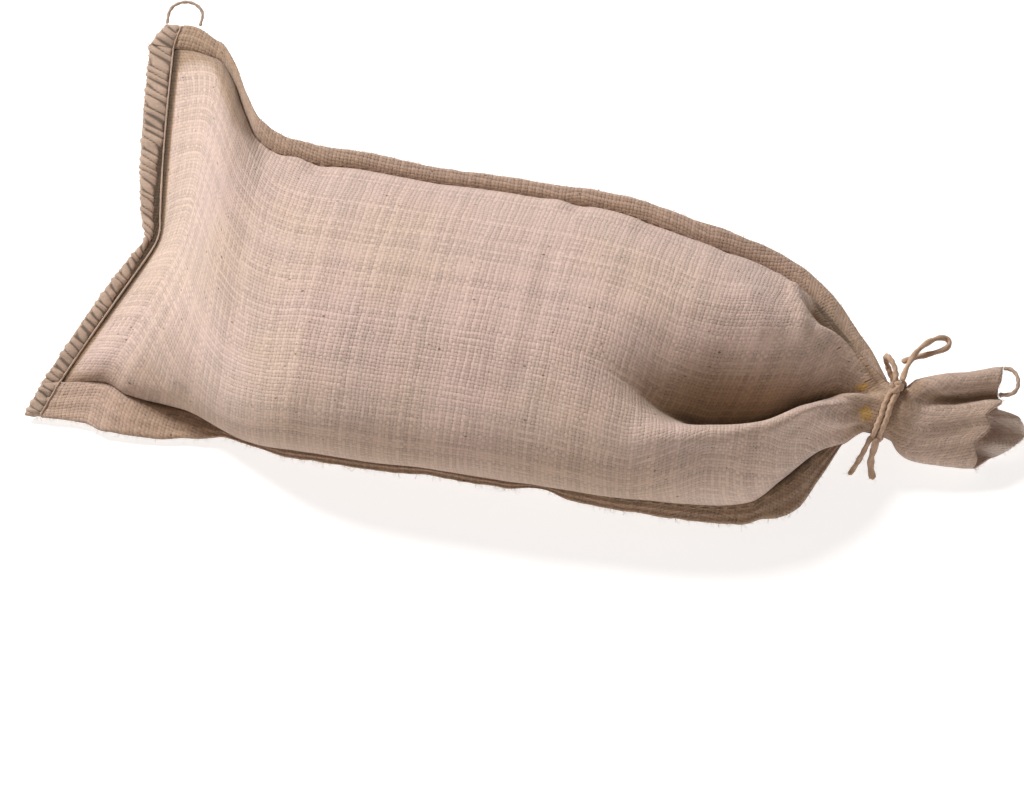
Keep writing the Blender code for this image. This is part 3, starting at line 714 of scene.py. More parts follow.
def cloth_slack_painted_light_and_shade(x, column, above):
    """How slack and brown the cloth is: 0 where the filling stretches it and 1 where nothing fills it. Painted
    shade makes it browner in the hollow and on the lower side, and takes it up to 2, darker, down in its grooves,
    creases and recesses; painted light takes it below 0 on the near corner."""
    # Painted shade: the seams' grooves and the near seam's pressed root are painted darker, with slack above 1
    groove_shade_reach = ease(x, -262, -244) * (1 - ease(x, 228, 244))
    if column.part == "far":
        ear = 1 - ease(x, -262, -240)
        edge = 0.25 + 0.45 * ease(column.share, 0.3, 0.6)
        return edge + (1 - edge) * ear + 0.5 * groove_shade_reach * (1 - ease(column.share, 0.44, 0.64))
    if column.part == "near":
        near_root_shade_reach = ease(x, 180, 200) * (1 - ease(x, 216, 232))
        corner = 0.65 + 0.35 * ease(x, -276, -240)
        painted_shade = (1 - ease(column.share, 0.05, 0.25)) * groove_shade_reach + (1 - ease(column.share, 0.1, 0.5)) * near_root_shade_reach
        return corner + 0.5 * painted_shade
    # Painted shade: the lower cloth, turned from the light, is painted brown
    if not above:
        return max(UNDER_PAINTED_SHADE, ease(x, *NECK_SLACK))
    turn = 180 * column.share
    row = blend_rows(SLACKS, x)
    far = 1 - ease(turn, row.far - SLACK_EASE, row.far + SLACK_EASE)
    near = ease(turn, row.near - SLACK_EASE, row.near + SLACK_EASE)
    y = plain_point(x, math.radians(turn)).y
    sunk = trough_depth(x, y)
    # Painted shade: the hollow's sharp crease, the hollow itself (browner, darker where deepest) and the panel's
    # near, lower side (brown) are painted darker
    crease = (1 - ease(abs(y - blend_rows(TROUGH, x).y), 1.5, 8)) * ease(x, 96, 130) * (1 - ease(x, 236, 252))
    brown = max(far, near, ease(x, *NECK_SLACK), UNDER_PAINTED_SHADE * ease(turn, *UNDER_TURNS) * (1 - ease(x, 90, 170)),
                HOLLOW_PAINTED_BROWN * ease(sunk, *HOLLOW_SUNK))
    # The bottom seam's strip is brown, and painted shade darkens it under the wraps
    seam_line, bead, brown_ends = SEAM_BROWN_AND_SHADE
    sewn = 0.9 * ease(x, SEAMS[0].x, seam_line) * (1 - ease(x, bead, brown_ends))
    # Painted shade in the recess past the peak, under the far seam
    painted_recess_shade = RECESS_PAINTED_SHADE * far * ease(x, 186, 198) * (1 - ease(x, 220, 236))
    painted_shade = max(HOLLOW_PAINTED_DARK * ease(sunk, *HOLLOW_DEEP), painted_recess_shade)
    # Painted light: the near corner, which faces the light, is painted paler
    pale_x, pale_turn, reach_x, reach_turn = PAINTED_LIGHT_CORNER
    painted_light = math.exp(-((x - pale_x) / reach_x) ** 2 - ((turn - pale_turn) / reach_turn) ** 2)
    brown = max(brown, ease(sewn, 0, 0.3)) - PAINTED_LIGHT_MOST * painted_light
    return brown + max(groove_shade_reach * (1 - ease(turn, 1.0, 3.2)), 0.7 * crease, sewn, painted_shade)


def frill_slack_painted_light_and_shade(share, depth, inside):
    """The gathered cloth is brown, most by the neck, with painted shadow in the slot under its top fold and painted
    light on one fold's end.
    """
    fold = share * len(FOLDS)
    middle, reach = PAINTED_LIGHT_FOLD
    # Painted light: one fold's end of the gathered cloth is painted paler
    painted_light = (1 - ease(abs(fold - middle), reach - 0.6, reach + 0.6)) * ease(depth, *PAINTED_LIGHT_ENDS)
    brown = 1 - (1 - MOUTH_BROWN) * ease(depth, 0.05, 0.3)
    slot, across = SLOT_FOLD
    # Painted shadow in the slot under the top fold
    painted_shade = SLOT_PAINTED_SHADOW * (1 - ease(abs(fold - slot), 0.2 * across, across)) * ease(depth, *SLOT_ENDS)
    return brown - (brown + PAINTED_LIGHT_MOST) * painted_light + (0 if inside else painted_shade)


def cloth_lengths(rows, middle_row, middle_column):
    """Each point's distances over the cloth, along the sack and across it, from the sheet's middle."""
    along = [[0.0] * len(rows[0]) for _ in rows]
    across = [[0.0] * len(rows[0]) for _ in rows]
    for j in range(len(rows[0])):
        for i in range(middle_row + 1, len(rows)):
            along[i][j] = along[i - 1][j] + (rows[i][j] - rows[i - 1][j]).length
        for i in range(middle_row - 1, -1, -1):
            along[i][j] = along[i + 1][j] - (rows[i][j] - rows[i + 1][j]).length
    for i, row in enumerate(rows):
        for j in range(middle_column + 1, len(row)):
            across[i][j] = across[i][j - 1] + (row[j] - row[j - 1]).length
        for j in range(middle_column - 1, -1, -1):
            across[i][j] = across[i][j + 1] - (row[j] - row[j + 1]).length
    return along, across


def lay_grid(shape, rows, lengths, slack=None):
    """A grid of faces laid on rows of points (metres), with its map in metres of cloth."""
    last_row, last_column = len(rows) - 1, len(rows[0]) - 1
    mapping = shape.loops.layers.uv.verify()
    # The slack layer holds brownness, with painted shade above 1 and painted light below 0; on the seam's thread,
    # its painted groove shade
    loose = shape.verts.layers.float.get("slack") or shape.verts.layers.float.new("slack")
    made = bmesh.ops.create_grid(shape, x_segments=last_column, y_segments=last_row, size=1)
    places = {}
    for vert in made["verts"]:
        i = round((vert.co.y + 1) / 2 * last_row)
        j = round((vert.co.x + 1) / 2 * last_column)
        places[vert] = (i, j)
        vert.co = rows[i][j]
        vert[loose] = slack(i, j) if slack else 0.0
    faces = {face for vert in made["verts"] for face in vert.link_faces}
    along, across = lengths
    for face in faces:
        for loop in face.loops:
            i, j = places[loop.vert]
            loop[mapping].uv = (along[i][j], across[i][j])
    return made["verts"]


def finished(name, shape, material):
    """A shape's object: doubles merged, faces outwards and smooth, riding on the sack."""
    bmesh.ops.remove_doubles(shape, verts=shape.verts[:], dist=WELD)
    bmesh.ops.recalc_face_normals(shape, faces=shape.faces[:])
    mesh = bpy.data.meshes.new(name)
    shape.to_mesh(mesh)
    shape.free()
    mesh.shade_smooth()
    mesh.materials.append(material)
    piece = bpy.data.objects.new(name, mesh)
    bpy.context.scene.collection.objects.link(piece)
    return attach(piece, "root")


# Materials

MIX_COLOUR_INPUTS = (0, 6, 7)
MIX_COLOUR_OUTPUT = 2


class Recipe:
    """A material's nodes, wired by short calls."""

    def __init__(self, name):
        self.material = bpy.data.materials.new(name)
        self.material.use_nodes = True
        self.tree = self.material.node_tree
        self.shader = self.tree.nodes["Principled BSDF"]

    def put(self, socket, value):
        if hasattr(value, "is_output"):
            self.tree.links.new(value, socket)
        elif value is not None:
            socket.default_value = value

    def node(self, kind, *inputs, output=0, **settings):
        made = self.tree.nodes.new(kind)
        for key, value in settings.items():
            setattr(made, key, value)
        for socket, value in zip(made.inputs, inputs):
            self.put(socket, value)
        return made.outputs[output]

    def math(self, operation, *inputs, clamp=False):
        return self.node("ShaderNodeMath", *inputs, operation=operation, use_clamp=clamp)

    def noise(self, place, scale, detail=2.0, roughness=0.5, output="Fac"):
        made = self.tree.nodes.new("ShaderNodeTexNoise")
        self.put(made.inputs["Vector"], place)
        made.inputs["Scale"].default_value = scale
        made.inputs["Detail"].default_value = detail
        made.inputs["Roughness"].default_value = roughness
        return made.outputs[output]

    def random(self, value, seed):
        """A number from 0 to 1 that is the same all along one yarn."""
        place = self.node("ShaderNodeCombineXYZ", value, seed, 0.0)
        made = self.tree.nodes.new("ShaderNodeTexWhiteNoise")
        made.noise_dimensions = "3D"
        self.put(made.inputs["Vector"], place)
        return made.outputs["Value"]

    def mix(self, share, a, b, blend="MIX"):
        made = self.tree.nodes.new("ShaderNodeMix")
        made.data_type = "RGBA"
        made.blend_type = blend
        for index, value in zip(MIX_COLOUR_INPUTS, (share, a, b)):
            self.put(made.inputs[index], value)
        return made.outputs[MIX_COLOUR_OUTPUT]

    def scaled(self, vector, size):
        return self.node("ShaderNodeVectorMath", vector, size, operation="MULTIPLY")

    def ramp(self, value, low, high, from_value=0.0, to_value=1.0):
        made = self.tree.nodes.new("ShaderNodeMapRange")
        made.interpolation_type = "SMOOTHSTEP"
        for name, number in zip(("Value", "From Min", "From Max", "To Min", "To Max"),
                                (value, low, high, from_value, to_value)):
            self.put(made.inputs[name], number)
        return made.outputs["Result"]


def colour(values):
    return (*values, 1.0)


def cloth_material(look):
    """Raw jute hessian: single yarns over and under each other, uneven, with gaps between them."""
    r = Recipe("jute_hessian")
    mapping = r.node("ShaderNodeTexCoord", output=2)
    waver = r.noise(mapping, 28.0, 2.0, 0.5, "Color")
    waver = r.node("ShaderNodeVectorMath", waver, (0.5, 0.5, 0.5), operation="SUBTRACT")
    waver = r.scaled(waver, (0.0035,) * 3)
    place = r.node("ShaderNodeVectorMath", mapping, waver, operation="ADD")
    threads = r.scaled(place, (1 / look.weft_pitch, 1 / look.warp_pitch, 0))
    straight = r.tree.nodes.new("ShaderNodeSeparateXYZ")
    r.put(straight.inputs[0], threads)

    def crowded(own, other):
        """A place across one set of yarns, with its yarns bunched and parted as they wander along."""
        here = r.node("ShaderNodeCombineXYZ", r.math("MULTIPLY", own, 0.55), r.math("MULTIPLY", other, 0.10), 0.0)
        shift = r.math("SUBTRACT", r.noise(here, 1.0, 2.0, 0.6), 0.5)
        return r.math("ADD", own, r.math("MULTIPLY", shift, look.unevenness))

    along = crowded(straight.outputs[0], straight.outputs[1])
    across = crowded(straight.outputs[1], straight.outputs[0])

    def yarn(run, side, seed, sign):
        """Height and brightness of one set of yarns; they run along run and lie side by side along side."""
        number = r.math("FLOOR", side)
        middle = r.math("SUBTRACT", r.math("SUBTRACT", side, number), 0.5)
        chance = r.random(number, seed)
        streak_place = r.node("ShaderNodeCombineXYZ", r.math("MULTIPLY", run, 0.35), r.math("MULTIPLY", side, 3.1), seed)
        streak = r.noise(streak_place, 1.0, 3.0, 0.6)
        slub_place = r.node("ShaderNodeCombineXYZ", r.math("MULTIPLY", run, 0.11), r.math("MULTIPLY", number, 7.3), seed)
        slub = r.noise(slub_place, 1.0, 2.0, 0.5)
        width = r.math("ADD", r.math("MULTIPLY", chance, 0.10), r.math("MULTIPLY", slub, 0.22))
        width = r.math("ADD", width, look.yarn_share / 2 - 0.16)
        ratio = r.math("DIVIDE", middle, width)
        rounded = r.math("SQRT", r.math("MAXIMUM", r.math("SUBTRACT", 1.0, r.math("MULTIPLY", ratio, ratio)), 0.0))
        wave = r.math("COSINE", r.math("MULTIPLY", r.math("SUBTRACT", run, 0.5), math.pi))
        turn = r.math("COSINE", r.math("MULTIPLY", number, math.pi))
        lift = r.math("MULTIPLY", r.math("MULTIPLY", wave, turn), sign * 0.42)
        present = r.math("GREATER_THAN", rounded, 0.02)
        height = r.math("ADD", r.math("ADD", lift, r.math("MULTIPLY", rounded, 0.62)), -0.2)
        height = r.math("ADD", r.math("MULTIPLY", height, present), r.math("MULTIPLY", r.math("SUBTRACT", 1.0, present), -0.8))
        shade = r.math("ADD", r.math("MULTIPLY", chance, 0.30), r.math("MULTIPLY", streak, 0.55))
        shade = r.math("ADD", shade, r.math("MULTIPLY", slub, 0.25))
        return height, shade

    warp_height, warp_shade = yarn(along, across, 1.5, 1.0)
    weft_height, weft_shade = yarn(across, along, 4.5, -1.0)
    warp_on_top = r.math("GREATER_THAN", warp_height, weft_height)
    height = r.math("MAXIMUM", warp_height, weft_height)
    shade = r.node("ShaderNodeMix", warp_on_top, None, weft_shade, warp_shade)

    object_place = r.node("ShaderNodeTexCoord", output=3)
    tone = r.noise(object_place, 9.0, 3.0, 0.55)
    patch = r.noise(object_place, 23.0, 3.0, 0.6)
    # The slack layer: brownness, with painted shade above 1 and painted light below 0
    slack = r.node("ShaderNodeAttribute", attribute_name="slack", output=2)
    base = r.mix(r.ramp(tone, 0.35, 0.65, 0.0, 0.8), colour(look.pink_colour), colour(look.straw_colour))
    base = r.mix(r.ramp(patch, 0.35, 0.75, 0.0, 0.4), base, colour(look.grey_colour))
    # Painted light: cloth with slack below 0 is painted paler, on the near corner and one fold of the mouth
    base = r.mix(r.ramp(slack, -1.0, 0.0, 1.0, 0.0), base, colour(look.painted_light_colour))
    # Brown for slack cloth, and as painted shade in the hollow and on the underside
    base = r.mix(r.math("MULTIPLY", slack, 0.75, clamp=True), base, colour(look.slack_and_shade_brown))
    for stain in STAINS:
        centre = metres(stain[:3])
        away = r.node("ShaderNodeVectorMath", object_place, tuple(centre), operation="DISTANCE", output=1)
        away = r.math("ADD", away, r.math("MULTIPLY", r.math("SUBTRACT", r.noise(object_place, 160.0), 0.5), 0.012))
        strength = r.ramp(away, stain[3] * MM * 0.35, stain[3] * MM, 0.75, 0.0)
        base = r.mix(strength, base, colour(look.stain_colour))
    hairs = r.noise(r.scaled(mapping, (1500.0, 1500.0, 0)), 1.0, 2.0, 0.7)
    shade = r.math("ADD", r.math("MULTIPLY", shade, 0.62), r.math("MULTIPLY", hairs, 0.55))
    bright = r.ramp(shade, 0.28, 0.86, 0.68, 1.27)
    base = r.mix(1.0, base, r.node("ShaderNodeCombineColor", bright, bright, bright), "MULTIPLY")
    for size, rarity, spread in FLECKS:
        flakes = r.tree.nodes.new("ShaderNodeTexVoronoi")
        flakes.voronoi_dimensions = "2D"
        r.put(flakes.inputs["Vector"], r.scaled(place, (1 / size, 1.5 / size, 0)))
        flakes.inputs["Scale"].default_value = 1.0
        pick = r.node("ShaderNodeSeparateColor", flakes.outputs["Color"])
        edge = r.math("MULTIPLY", r.math("SUBTRACT", pick, rarity), spread / (1 - rarity))
        flake = r.math("LESS_THAN", flakes.outputs["Distance"], edge)
        base = r.mix(r.math("MULTIPLY", flake, 0.8), base, colour(look.fleck_colour))
    gap_colour = r.mix(slack, colour(look.sand_colour), colour(look.gap_colour))
    openness = r.ramp(r.noise(r.scaled(mapping, (150.0, 150.0, 0)), 1.0, 2.0, 0.6), 0.35, 0.65, 0.3, 1.0)
    openness = r.math("MAXIMUM", openness, slack)
    open_share = r.math("MULTIPLY", r.ramp(height, -0.45, -0.05, 1.0, 0.0), openness)
    base = r.mix(open_share, base, gap_colour)
    # Painted shade: the weave is painted darker where its yarns lie low and lighter on their tops
    painted_weave_shade = r.ramp(height, -0.4, 0.7, 0.72, 1.05)
    base = r.mix(1.0, base, r.node("ShaderNodeCombineColor", painted_weave_shade, painted_weave_shade, painted_weave_shade), "MULTIPLY")
    # Painted shade: slack above 1 darkens the cloth in its grooves, creases, recesses and the slot under the
    # mouth's fold
    painted_crease_shade = r.ramp(slack, 1.0, 2.0, 1.0, 0.22)
    base = r.mix(1.0, base, r.node("ShaderNodeCombineColor", painted_crease_shade, painted_crease_shade, painted_crease_shade), "MULTIPLY")
    r.put(r.shader.inputs["Base Color"], base)
    fuzz = r.noise(r.scaled(mapping, (2600.0, 2600.0, 0)), 1.0, 2.0, 0.6)
    relief = r.math("ADD", height, r.math("MULTIPLY", fuzz, 0.8))
    bump = r.tree.nodes.new("ShaderNodeBump")
    bump.inputs["Strength"].default_value = 0.65
    bump.inputs["Distance"].default_value = look.weft_pitch * 0.3
    r.put(bump.inputs["Height"], relief)
    r.put(r.shader.inputs["Normal"], bump.outputs["Normal"])
    r.shader.inputs["Roughness"].default_value = 0.92
    r.shader.inputs["Specular IOR Level"].default_value = 0.18
    r.shader.inputs["Sheen Weight"].default_value = 0.25
    r.shader.inputs["Sheen Roughness"].default_value = 0.6
    return r.material


def twine_material(name, tint):
    """Soft jute twine: fibres lying along its twist, with lighter and darker lengths."""
    r = Recipe(name)
    mapping = r.node("ShaderNodeTexCoord", output=2)
    place = r.node("ShaderNodeTexCoord", output=3)
    fibres = r.noise(r.scaled(mapping, (420.0, 2600.0, 0)), 1.0, 4.0, 0.65)
    lengths = r.noise(place, 60.0, 2.0, 0.5)
    bright = r.math("ADD", r.ramp(fibres, 0.3, 0.7, 0.70, 1.15), r.ramp(lengths, 0.3, 0.7, -0.08, 0.10))
    # Painted shade: the seam's thread is painted darker in the grooves between its wraps
    painted_groove_shade = r.ramp(r.node("ShaderNodeAttribute", attribute_name="slack", output=2), 0.0, 1.0, 1.0, 0.35)
    bright = r.math("MULTIPLY", bright, painted_groove_shade)
    base = r.mix(1.0, colour(tint), r.node("ShaderNodeCombineColor", bright, bright, bright), "MULTIPLY")
    r.put(r.shader.inputs["Base Color"], base)
    bump = r.tree.nodes.new("ShaderNodeBump")
    bump.inputs["Strength"].default_value = 0.5
    bump.inputs["Distance"].default_value = 0.0006
    r.put(bump.inputs["Height"], fibres)
    r.put(r.shader.inputs["Normal"], bump.outputs["Normal"])
    r.shader.inputs["Roughness"].default_value = 0.9
    r.shader.inputs["Specular IOR Level"].default_value = 0.2
    r.shader.inputs["Sheen Weight"].default_value = 0.3
    return r.material


def plain_material(name, tint, roughness):
    r = Recipe(name)
    r.shader.inputs["Base Color"].default_value = colour(tint)
    r.shader.inputs["Roughness"].default_value = roughness
    return r.material


# Twine and thread

def smooth_route(route, spacing):
    """Points a set distance apart on a smooth curve through a route's own points."""
    knots = [Vector(point) for point in route]
    fine = []
    for i in range(len(knots) - 1):
        before = knots[i - 1] if i > 0 else knots[i] * 2 - knots[i + 1]
        after = knots[i + 2] if i + 2 < len(knots) else knots[i + 1] * 2 - knots[i]
        start, end = (knots[i + 1] - before) / 2, (after - knots[i]) / 2
        for step in range(16):
            share = step / 16
            fine.append(Vector([hermite(*parts, share) for parts in zip(knots[i], knots[i + 1], start, end)]))
    fine.append(knots[-1])
    travelled = [0.0]
    for a, b in zip(fine, fine[1:]):
        travelled.append(travelled[-1] + (b - a).length)
    steps = max(2, round(travelled[-1] / spacing))
    points = [fine[0]]
    for step in range(1, steps + 1):
        goal = travelled[-1] * step / steps
        i = min(bisect_left(travelled, goal), len(fine) - 1)
        points.append(fine[i - 1].lerp(fine[i], (goal - travelled[i - 1]) / (travelled[i] - travelled[i - 1])))
    return points


def path_length(points):
    return sum((b - a).length for a, b in zip(points, points[1:]))


def twisted_tube(shape, path, diameter, twist, sides=12):
    """Two plies twisted round each other along a path (all in metres), with rounded ends."""
    rings, along, across = [], [], []
    side = None
    travelled = 0.0
    last = len(path) - 1
    total = path_length(path)
    for i, point in enumerate(path):
        run = (path[min(i + 1, last)] - path[max(i - 1, 0)]).normalized()
        if side is None:
            side = run.orthogonal().normalized()
        side = (side - run * side.dot(run)).normalized()
        up = run.cross(side)
        if i:
            travelled += (point - path[i - 1]).length
        spin = 2 * math.pi * travelled / twist
        ring = []
        from_end = min(travelled, max(total - travelled, 0)) / diameter
        swell = math.sqrt(max(1 - (1 - min(from_end / END_ROUND, 1)) ** 2, END_LEAST))
        swell *= 1 + TWINE_SLUB * noise.noise(Vector((travelled / TWINE_SLUB_LENGTH, diameter / MM, 0)))
        for k in range(sides + 1):
            angle = 2 * math.pi * (k % sides) / sides
            lobe = 1 + PLY_LOBE * math.cos(2 * (angle - spin))
            ring.append(point + (side * math.cos(angle) + up * math.sin(angle)) * diameter / 2 * lobe * swell)
        rings.append(ring)
        along.append([travelled] * (sides + 1))
        across.append([diameter * math.pi * k / sides + spin * diameter / 2 for k in range(sides + 1)])
    verts = lay_grid(shape, rings, (along, across))
    return verts


def capped(shape):
    bmesh.ops.remove_doubles(shape, verts=shape.verts[:], dist=1e-7)
    bmesh.ops.holes_fill(shape, edges=[edge for edge in shape.edges if edge.is_boundary], sides=0)


def neck_outline(x, gap, sides):
    """The neck's section at x, moved out by gap."""
    ring = [plain_point(x, 2 * math.pi * i / sides) for i in range(sides)]
    middle = sum(ring, Vector()) / sides
    moved = []
    for i, point in enumerate(ring):
        run = ring[(i + 1) % sides] - ring[i - 1]
        out = Vector((0, run.z, -run.y)).normalized()
        moved.append(point + out * gap * (1 if out.dot(point - middle) > 0 else -1))
    return moved


def in_metres(points):
    return [metres(point) for point in points]


def fibre(shape, root, tip, sag, width):
    """One short bent fibre with a fine tip, from root to tip (metres)."""
    rings = []
    run = (tip - root).normalized()
    side = run.orthogonal().normalized()
    up = run.cross(side)
    for i in range(FIBRE_STEPS + 1):
        share = i / FIBRE_STEPS
        middle = root.lerp(tip, share) + sag * (4 * share * (1 - share))
        radius = width / 2 * (1 - 0.8 * share)
        turns = (2 * math.pi * (k % FIBRE_SIDES) / FIBRE_SIDES for k in range(FIBRE_SIDES + 1))
        rings.append([middle + (side * math.cos(turn) + up * math.sin(turn)) * radius for turn in turns])
    flat = [[0.0] * (FIBRE_SIDES + 1)] * (FIBRE_STEPS + 1)
    lay_grid(shape, rings, (flat, flat))


# The pieces

def build_cloth(look):
    """The sack's two cloths, sewn along both sides and drawn together at the neck, as one skin."""
    shape = bmesh.new()
    for above, steps, other in ((True, UPPER_STEPS, LOWER_STEPS), (False, LOWER_STEPS, UPPER_STEPS)):
        columns, rows = sheet_points(steps, above, other)
        along, across = cloth_lengths(rows, BODY_ROWS // 2, len(columns) // 2)
        lengths = [[[value * MM for value in row] for row in table] for table in (along, across)]

        # Brownness of each point, with its painted shade and painted light
        def slack(i, j):
            if i > BODY_ROWS:
                share = j / (len(columns) + other + 2 * len(FLANGE_SHARES))
                row = i - BODY_ROWS
                inside = row > FRILL_ROWS
                depth = (2 * FRILL_ROWS - row if inside else row) / FRILL_ROWS
                return frill_slack_painted_light_and_shade(share if above else 1 - share, depth, inside)
            return cloth_slack_painted_light_and_shade(blend_rows(STATIONS, i / BODY_ROWS).place, columns[j], above)

        lay_grid(shape, [in_metres(row) for row in rows], lengths, slack)
    bmesh.ops.remove_doubles(shape, verts=shape.verts[:], dist=WELD)
    rims = [edge for edge in shape.edges if edge.is_boundary]
    ends = bmesh.ops.holes_fill(shape, edges=rims, sides=0)["faces"]
    mouth = max(ends, key=lambda face: face.calc_center_median().x)
    poked = bmesh.ops.poke(shape, faces=[mouth])
    bmesh.ops.translate(shape, verts=poked["verts"], vec=Vector((-POCKET_DIP * MM, 0, 0)))
    bmesh.ops.triangulate(shape, faces=[face for face in shape.faces if len(face.verts) > 4])
    piece = finished("sack_cloth", shape, cloth_material(look))
    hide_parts("sack")


def seam_edge(above, inset):
    """Points along the bottom seam from the far corner to the near one, inset from the edge."""
    x = SEAMS[0].x + inset
    columns = sheet_columns(UPPER_STEPS)
    return [body_point(x, column, above) for column in columns]


def resampled(points, count):
    """Points spaced evenly along a line of points."""
    travelled = [0.0]
    for a, b in zip(points, points[1:]):
        travelled.append(travelled[-1] + (b - a).length)
    spaced = []
    for step in range(count + 1):
        goal = travelled[-1] * step / count
        i = max(1, min(bisect_left(travelled, goal), len(points) - 1))
        gap = travelled[i] - travelled[i - 1] or 1.0
        spaced.append(points[i - 1].lerp(points[i], (goal - travelled[i - 1]) / gap))
    return spaced


def uneven_along(values, place):
    """A smooth run through random values, at a place counted in values."""
    first = min(int(place), len(values) - 2)
    return values[first] + (values[first + 1] - values[first]) * ease(place - first, 0, 1)


def build_bottom_seam(twine):
    """The bottom seam's overcast edge, a soft roll of slanting wraps, and the thread that they hold down."""
    count = BOTTOM_WRAPS * WRAP_STEPS
    inner_top, inner_low = (resampled(seam_edge(above, SEAM_BAND), count) for above in (True, False))
    edge_top, edge_low = (resampled(seam_edge(above, 0.0), count) for above in (True, False))
    chance = random.Random(5)
    steps, reaches, depths = ([chance.uniform(-1, 1) for _ in range(BOTTOM_WRAPS + 2)] for _ in range(3))
    rings, around, along, shades = [], [], [], []
    travelled = 0.0
    for i in range(count + 1):
        wraps = i / WRAP_STEPS
        inner, edge = (inner_top[i] + inner_low[i]) / 2, (edge_top[i] + edge_low[i]) / 2
        outward = (edge - inner).normalized()
        up = (edge_top[i] - edge_low[i]).normalized()
        narrow = SEAM_NARROWS * math.exp(-((i / count - 0.5) / 0.16) ** 2) + 0.10 * uneven_along(depths, wraps)
        inner = inner.lerp(edge, max(narrow, 0))
        wide = (edge - inner).length / 2
        half = (edge_top[i] - edge_low[i]).length / 2 + WRAP_CLEAR
        if i:
            travelled += (edge_top[i] - edge_top[i - 1]).length * MM
        swell = math.sqrt(max(1 - (1 - min(min(i, count - i) / WRAP_STEPS, 1)) ** 2, END_LEAST))
        ring, run, slant, shade = [], [], [], []
        for k in range(ROLL_SIDES + 1):
            angle = 2 * math.pi * (k % ROLL_SIDES) / ROLL_SIDES
            phase = wraps + WRAP_SLANT * math.cos(angle) / 2 + 0.3 * uneven_along(steps, wraps)
            lobe = abs(math.sin(math.pi * phase)) ** 0.7 * (1 + 0.35 * uneven_along(reaches, wraps))
            bulge = math.copysign(abs(math.sin(angle)) ** 0.5, math.sin(angle)) * (half + WRAP_RISE * lobe)
            reach = wide * math.cos(angle) + SEAM_SCALLOP * (2 * lobe - 1) * max(math.cos(angle), 0)
            point = (inner + edge) / 2 + (outward * reach + up * bulge) * swell
            point.z = max(point.z, 0.3)
            ring.append(metres(point))
            # Painted shade in the grooves between wraps, carried in the slack layer
            shade.append(1 - ease(lobe, 0.25, 0.75))
            run.append(wide * angle * MM)
            slant.append(travelled + WRAP_SLANT * math.cos(angle) / 2 * SEAM_BAND * MM)
        rings.append(ring)
        around.append(run)
        along.append(slant)
        shades.append(shade)
    shape = bmesh.new()
    lay_grid(shape, rings, (around, along), lambda i, j: shades[i][j])
    capped(shape)
    bead = resampled(seam_edge(True, SEAM_BAND), 160)
    for point in bead:
        point.z += 0.4
    twisted_tube(shape, in_metres(bead), twine.thread_diameter * 0.7, 0.006, sides=8)
    capped(shape)
    piece = finished("bottom_seam_thread", shape, twine_material("seam_thread", twine.thread_colour))


def build_side_stitches(twine):
    """Running stitches through each side seam's edge, just outside the seam line."""
    shape = bmesh.new()
    for far_side in (True, False):
        share = STITCH_SHARES[0 if far_side else 1]
        line = []
        x = STITCH_ENDS[0]
        while x < STITCH_ENDS[1]:
            line.append((x, flange_point(x, share, far_side, True), flange_point(x, share, far_side, False)))
            x += STITCH_STEP
        for first, second in zip(line[::2], line[1::2]):
            out = (first[1] - first[2]).normalized() * 0.3
            row = [first[1] - out * 2, first[1] + out, second[1] + out, second[1] - out * 2]
            twisted_tube(shape, in_metres(smooth_route(row, 1.0)), twine.thread_diameter * 0.4, 0.005, sides=6)
            capped(shape)
    piece = finished("side_seam_stitches", shape, twine_material("stitch_thread", twine.stitch_colour))


def build_tie(twine):
    """Two turns of twine pulled tight round the neck, the slack turn's arch and the knot."""
    reach = twine.diameter / MM / 2 + TOUCH_GAP
    shape = bmesh.new()
    for side in (-1, 1):
        ring = neck_outline(NECK_X + side * TURN_PITCH / 2, reach, NECK_SIDES)
        ring = ring[KNOT_STEP:] + ring[:KNOT_STEP + 1]
        path = smooth_route(ring, 1.2)
        twisted_tube(shape, in_metres(path), twine.diameter * 1.06, twine.twist, sides=14)
        capped(shape)
    arch = smooth_route(TIE_ARCH_ROUTE, 1.2)
    twisted_tube(shape, in_metres(arch), twine.diameter, twine.twist, sides=14)
    capped(shape)
    knot_at = neck_outline(NECK_X, KNOT_SIZE[2] * 1.16 + TOUCH_GAP, NECK_SIDES)[KNOT_STEP]
    knot = []
    for step in range(KNOT_STEPS + 1):
        t = 2 * math.pi * step / KNOT_STEPS
        lobe = (math.sin(t) + 2 * math.sin(2 * t), math.cos(t) - 2 * math.cos(2 * t), -1.4 * math.sin(3 * t))
        size = [value / 3 * (reach_out - 1.2) for value, reach_out in zip(lobe, KNOT_SIZE)]
        knot.append(knot_at + Vector(size))
    twisted_tube(shape, in_metres(knot), twine.diameter, twine.twist, sides=12)
    capped(shape)
    piece = finished("tie_twine", shape, twine_material("twine_round_neck", twine.colour))
    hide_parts("tie")


End = namedtuple("End", "node lead_in route thick far_end lay slot slack_twist")


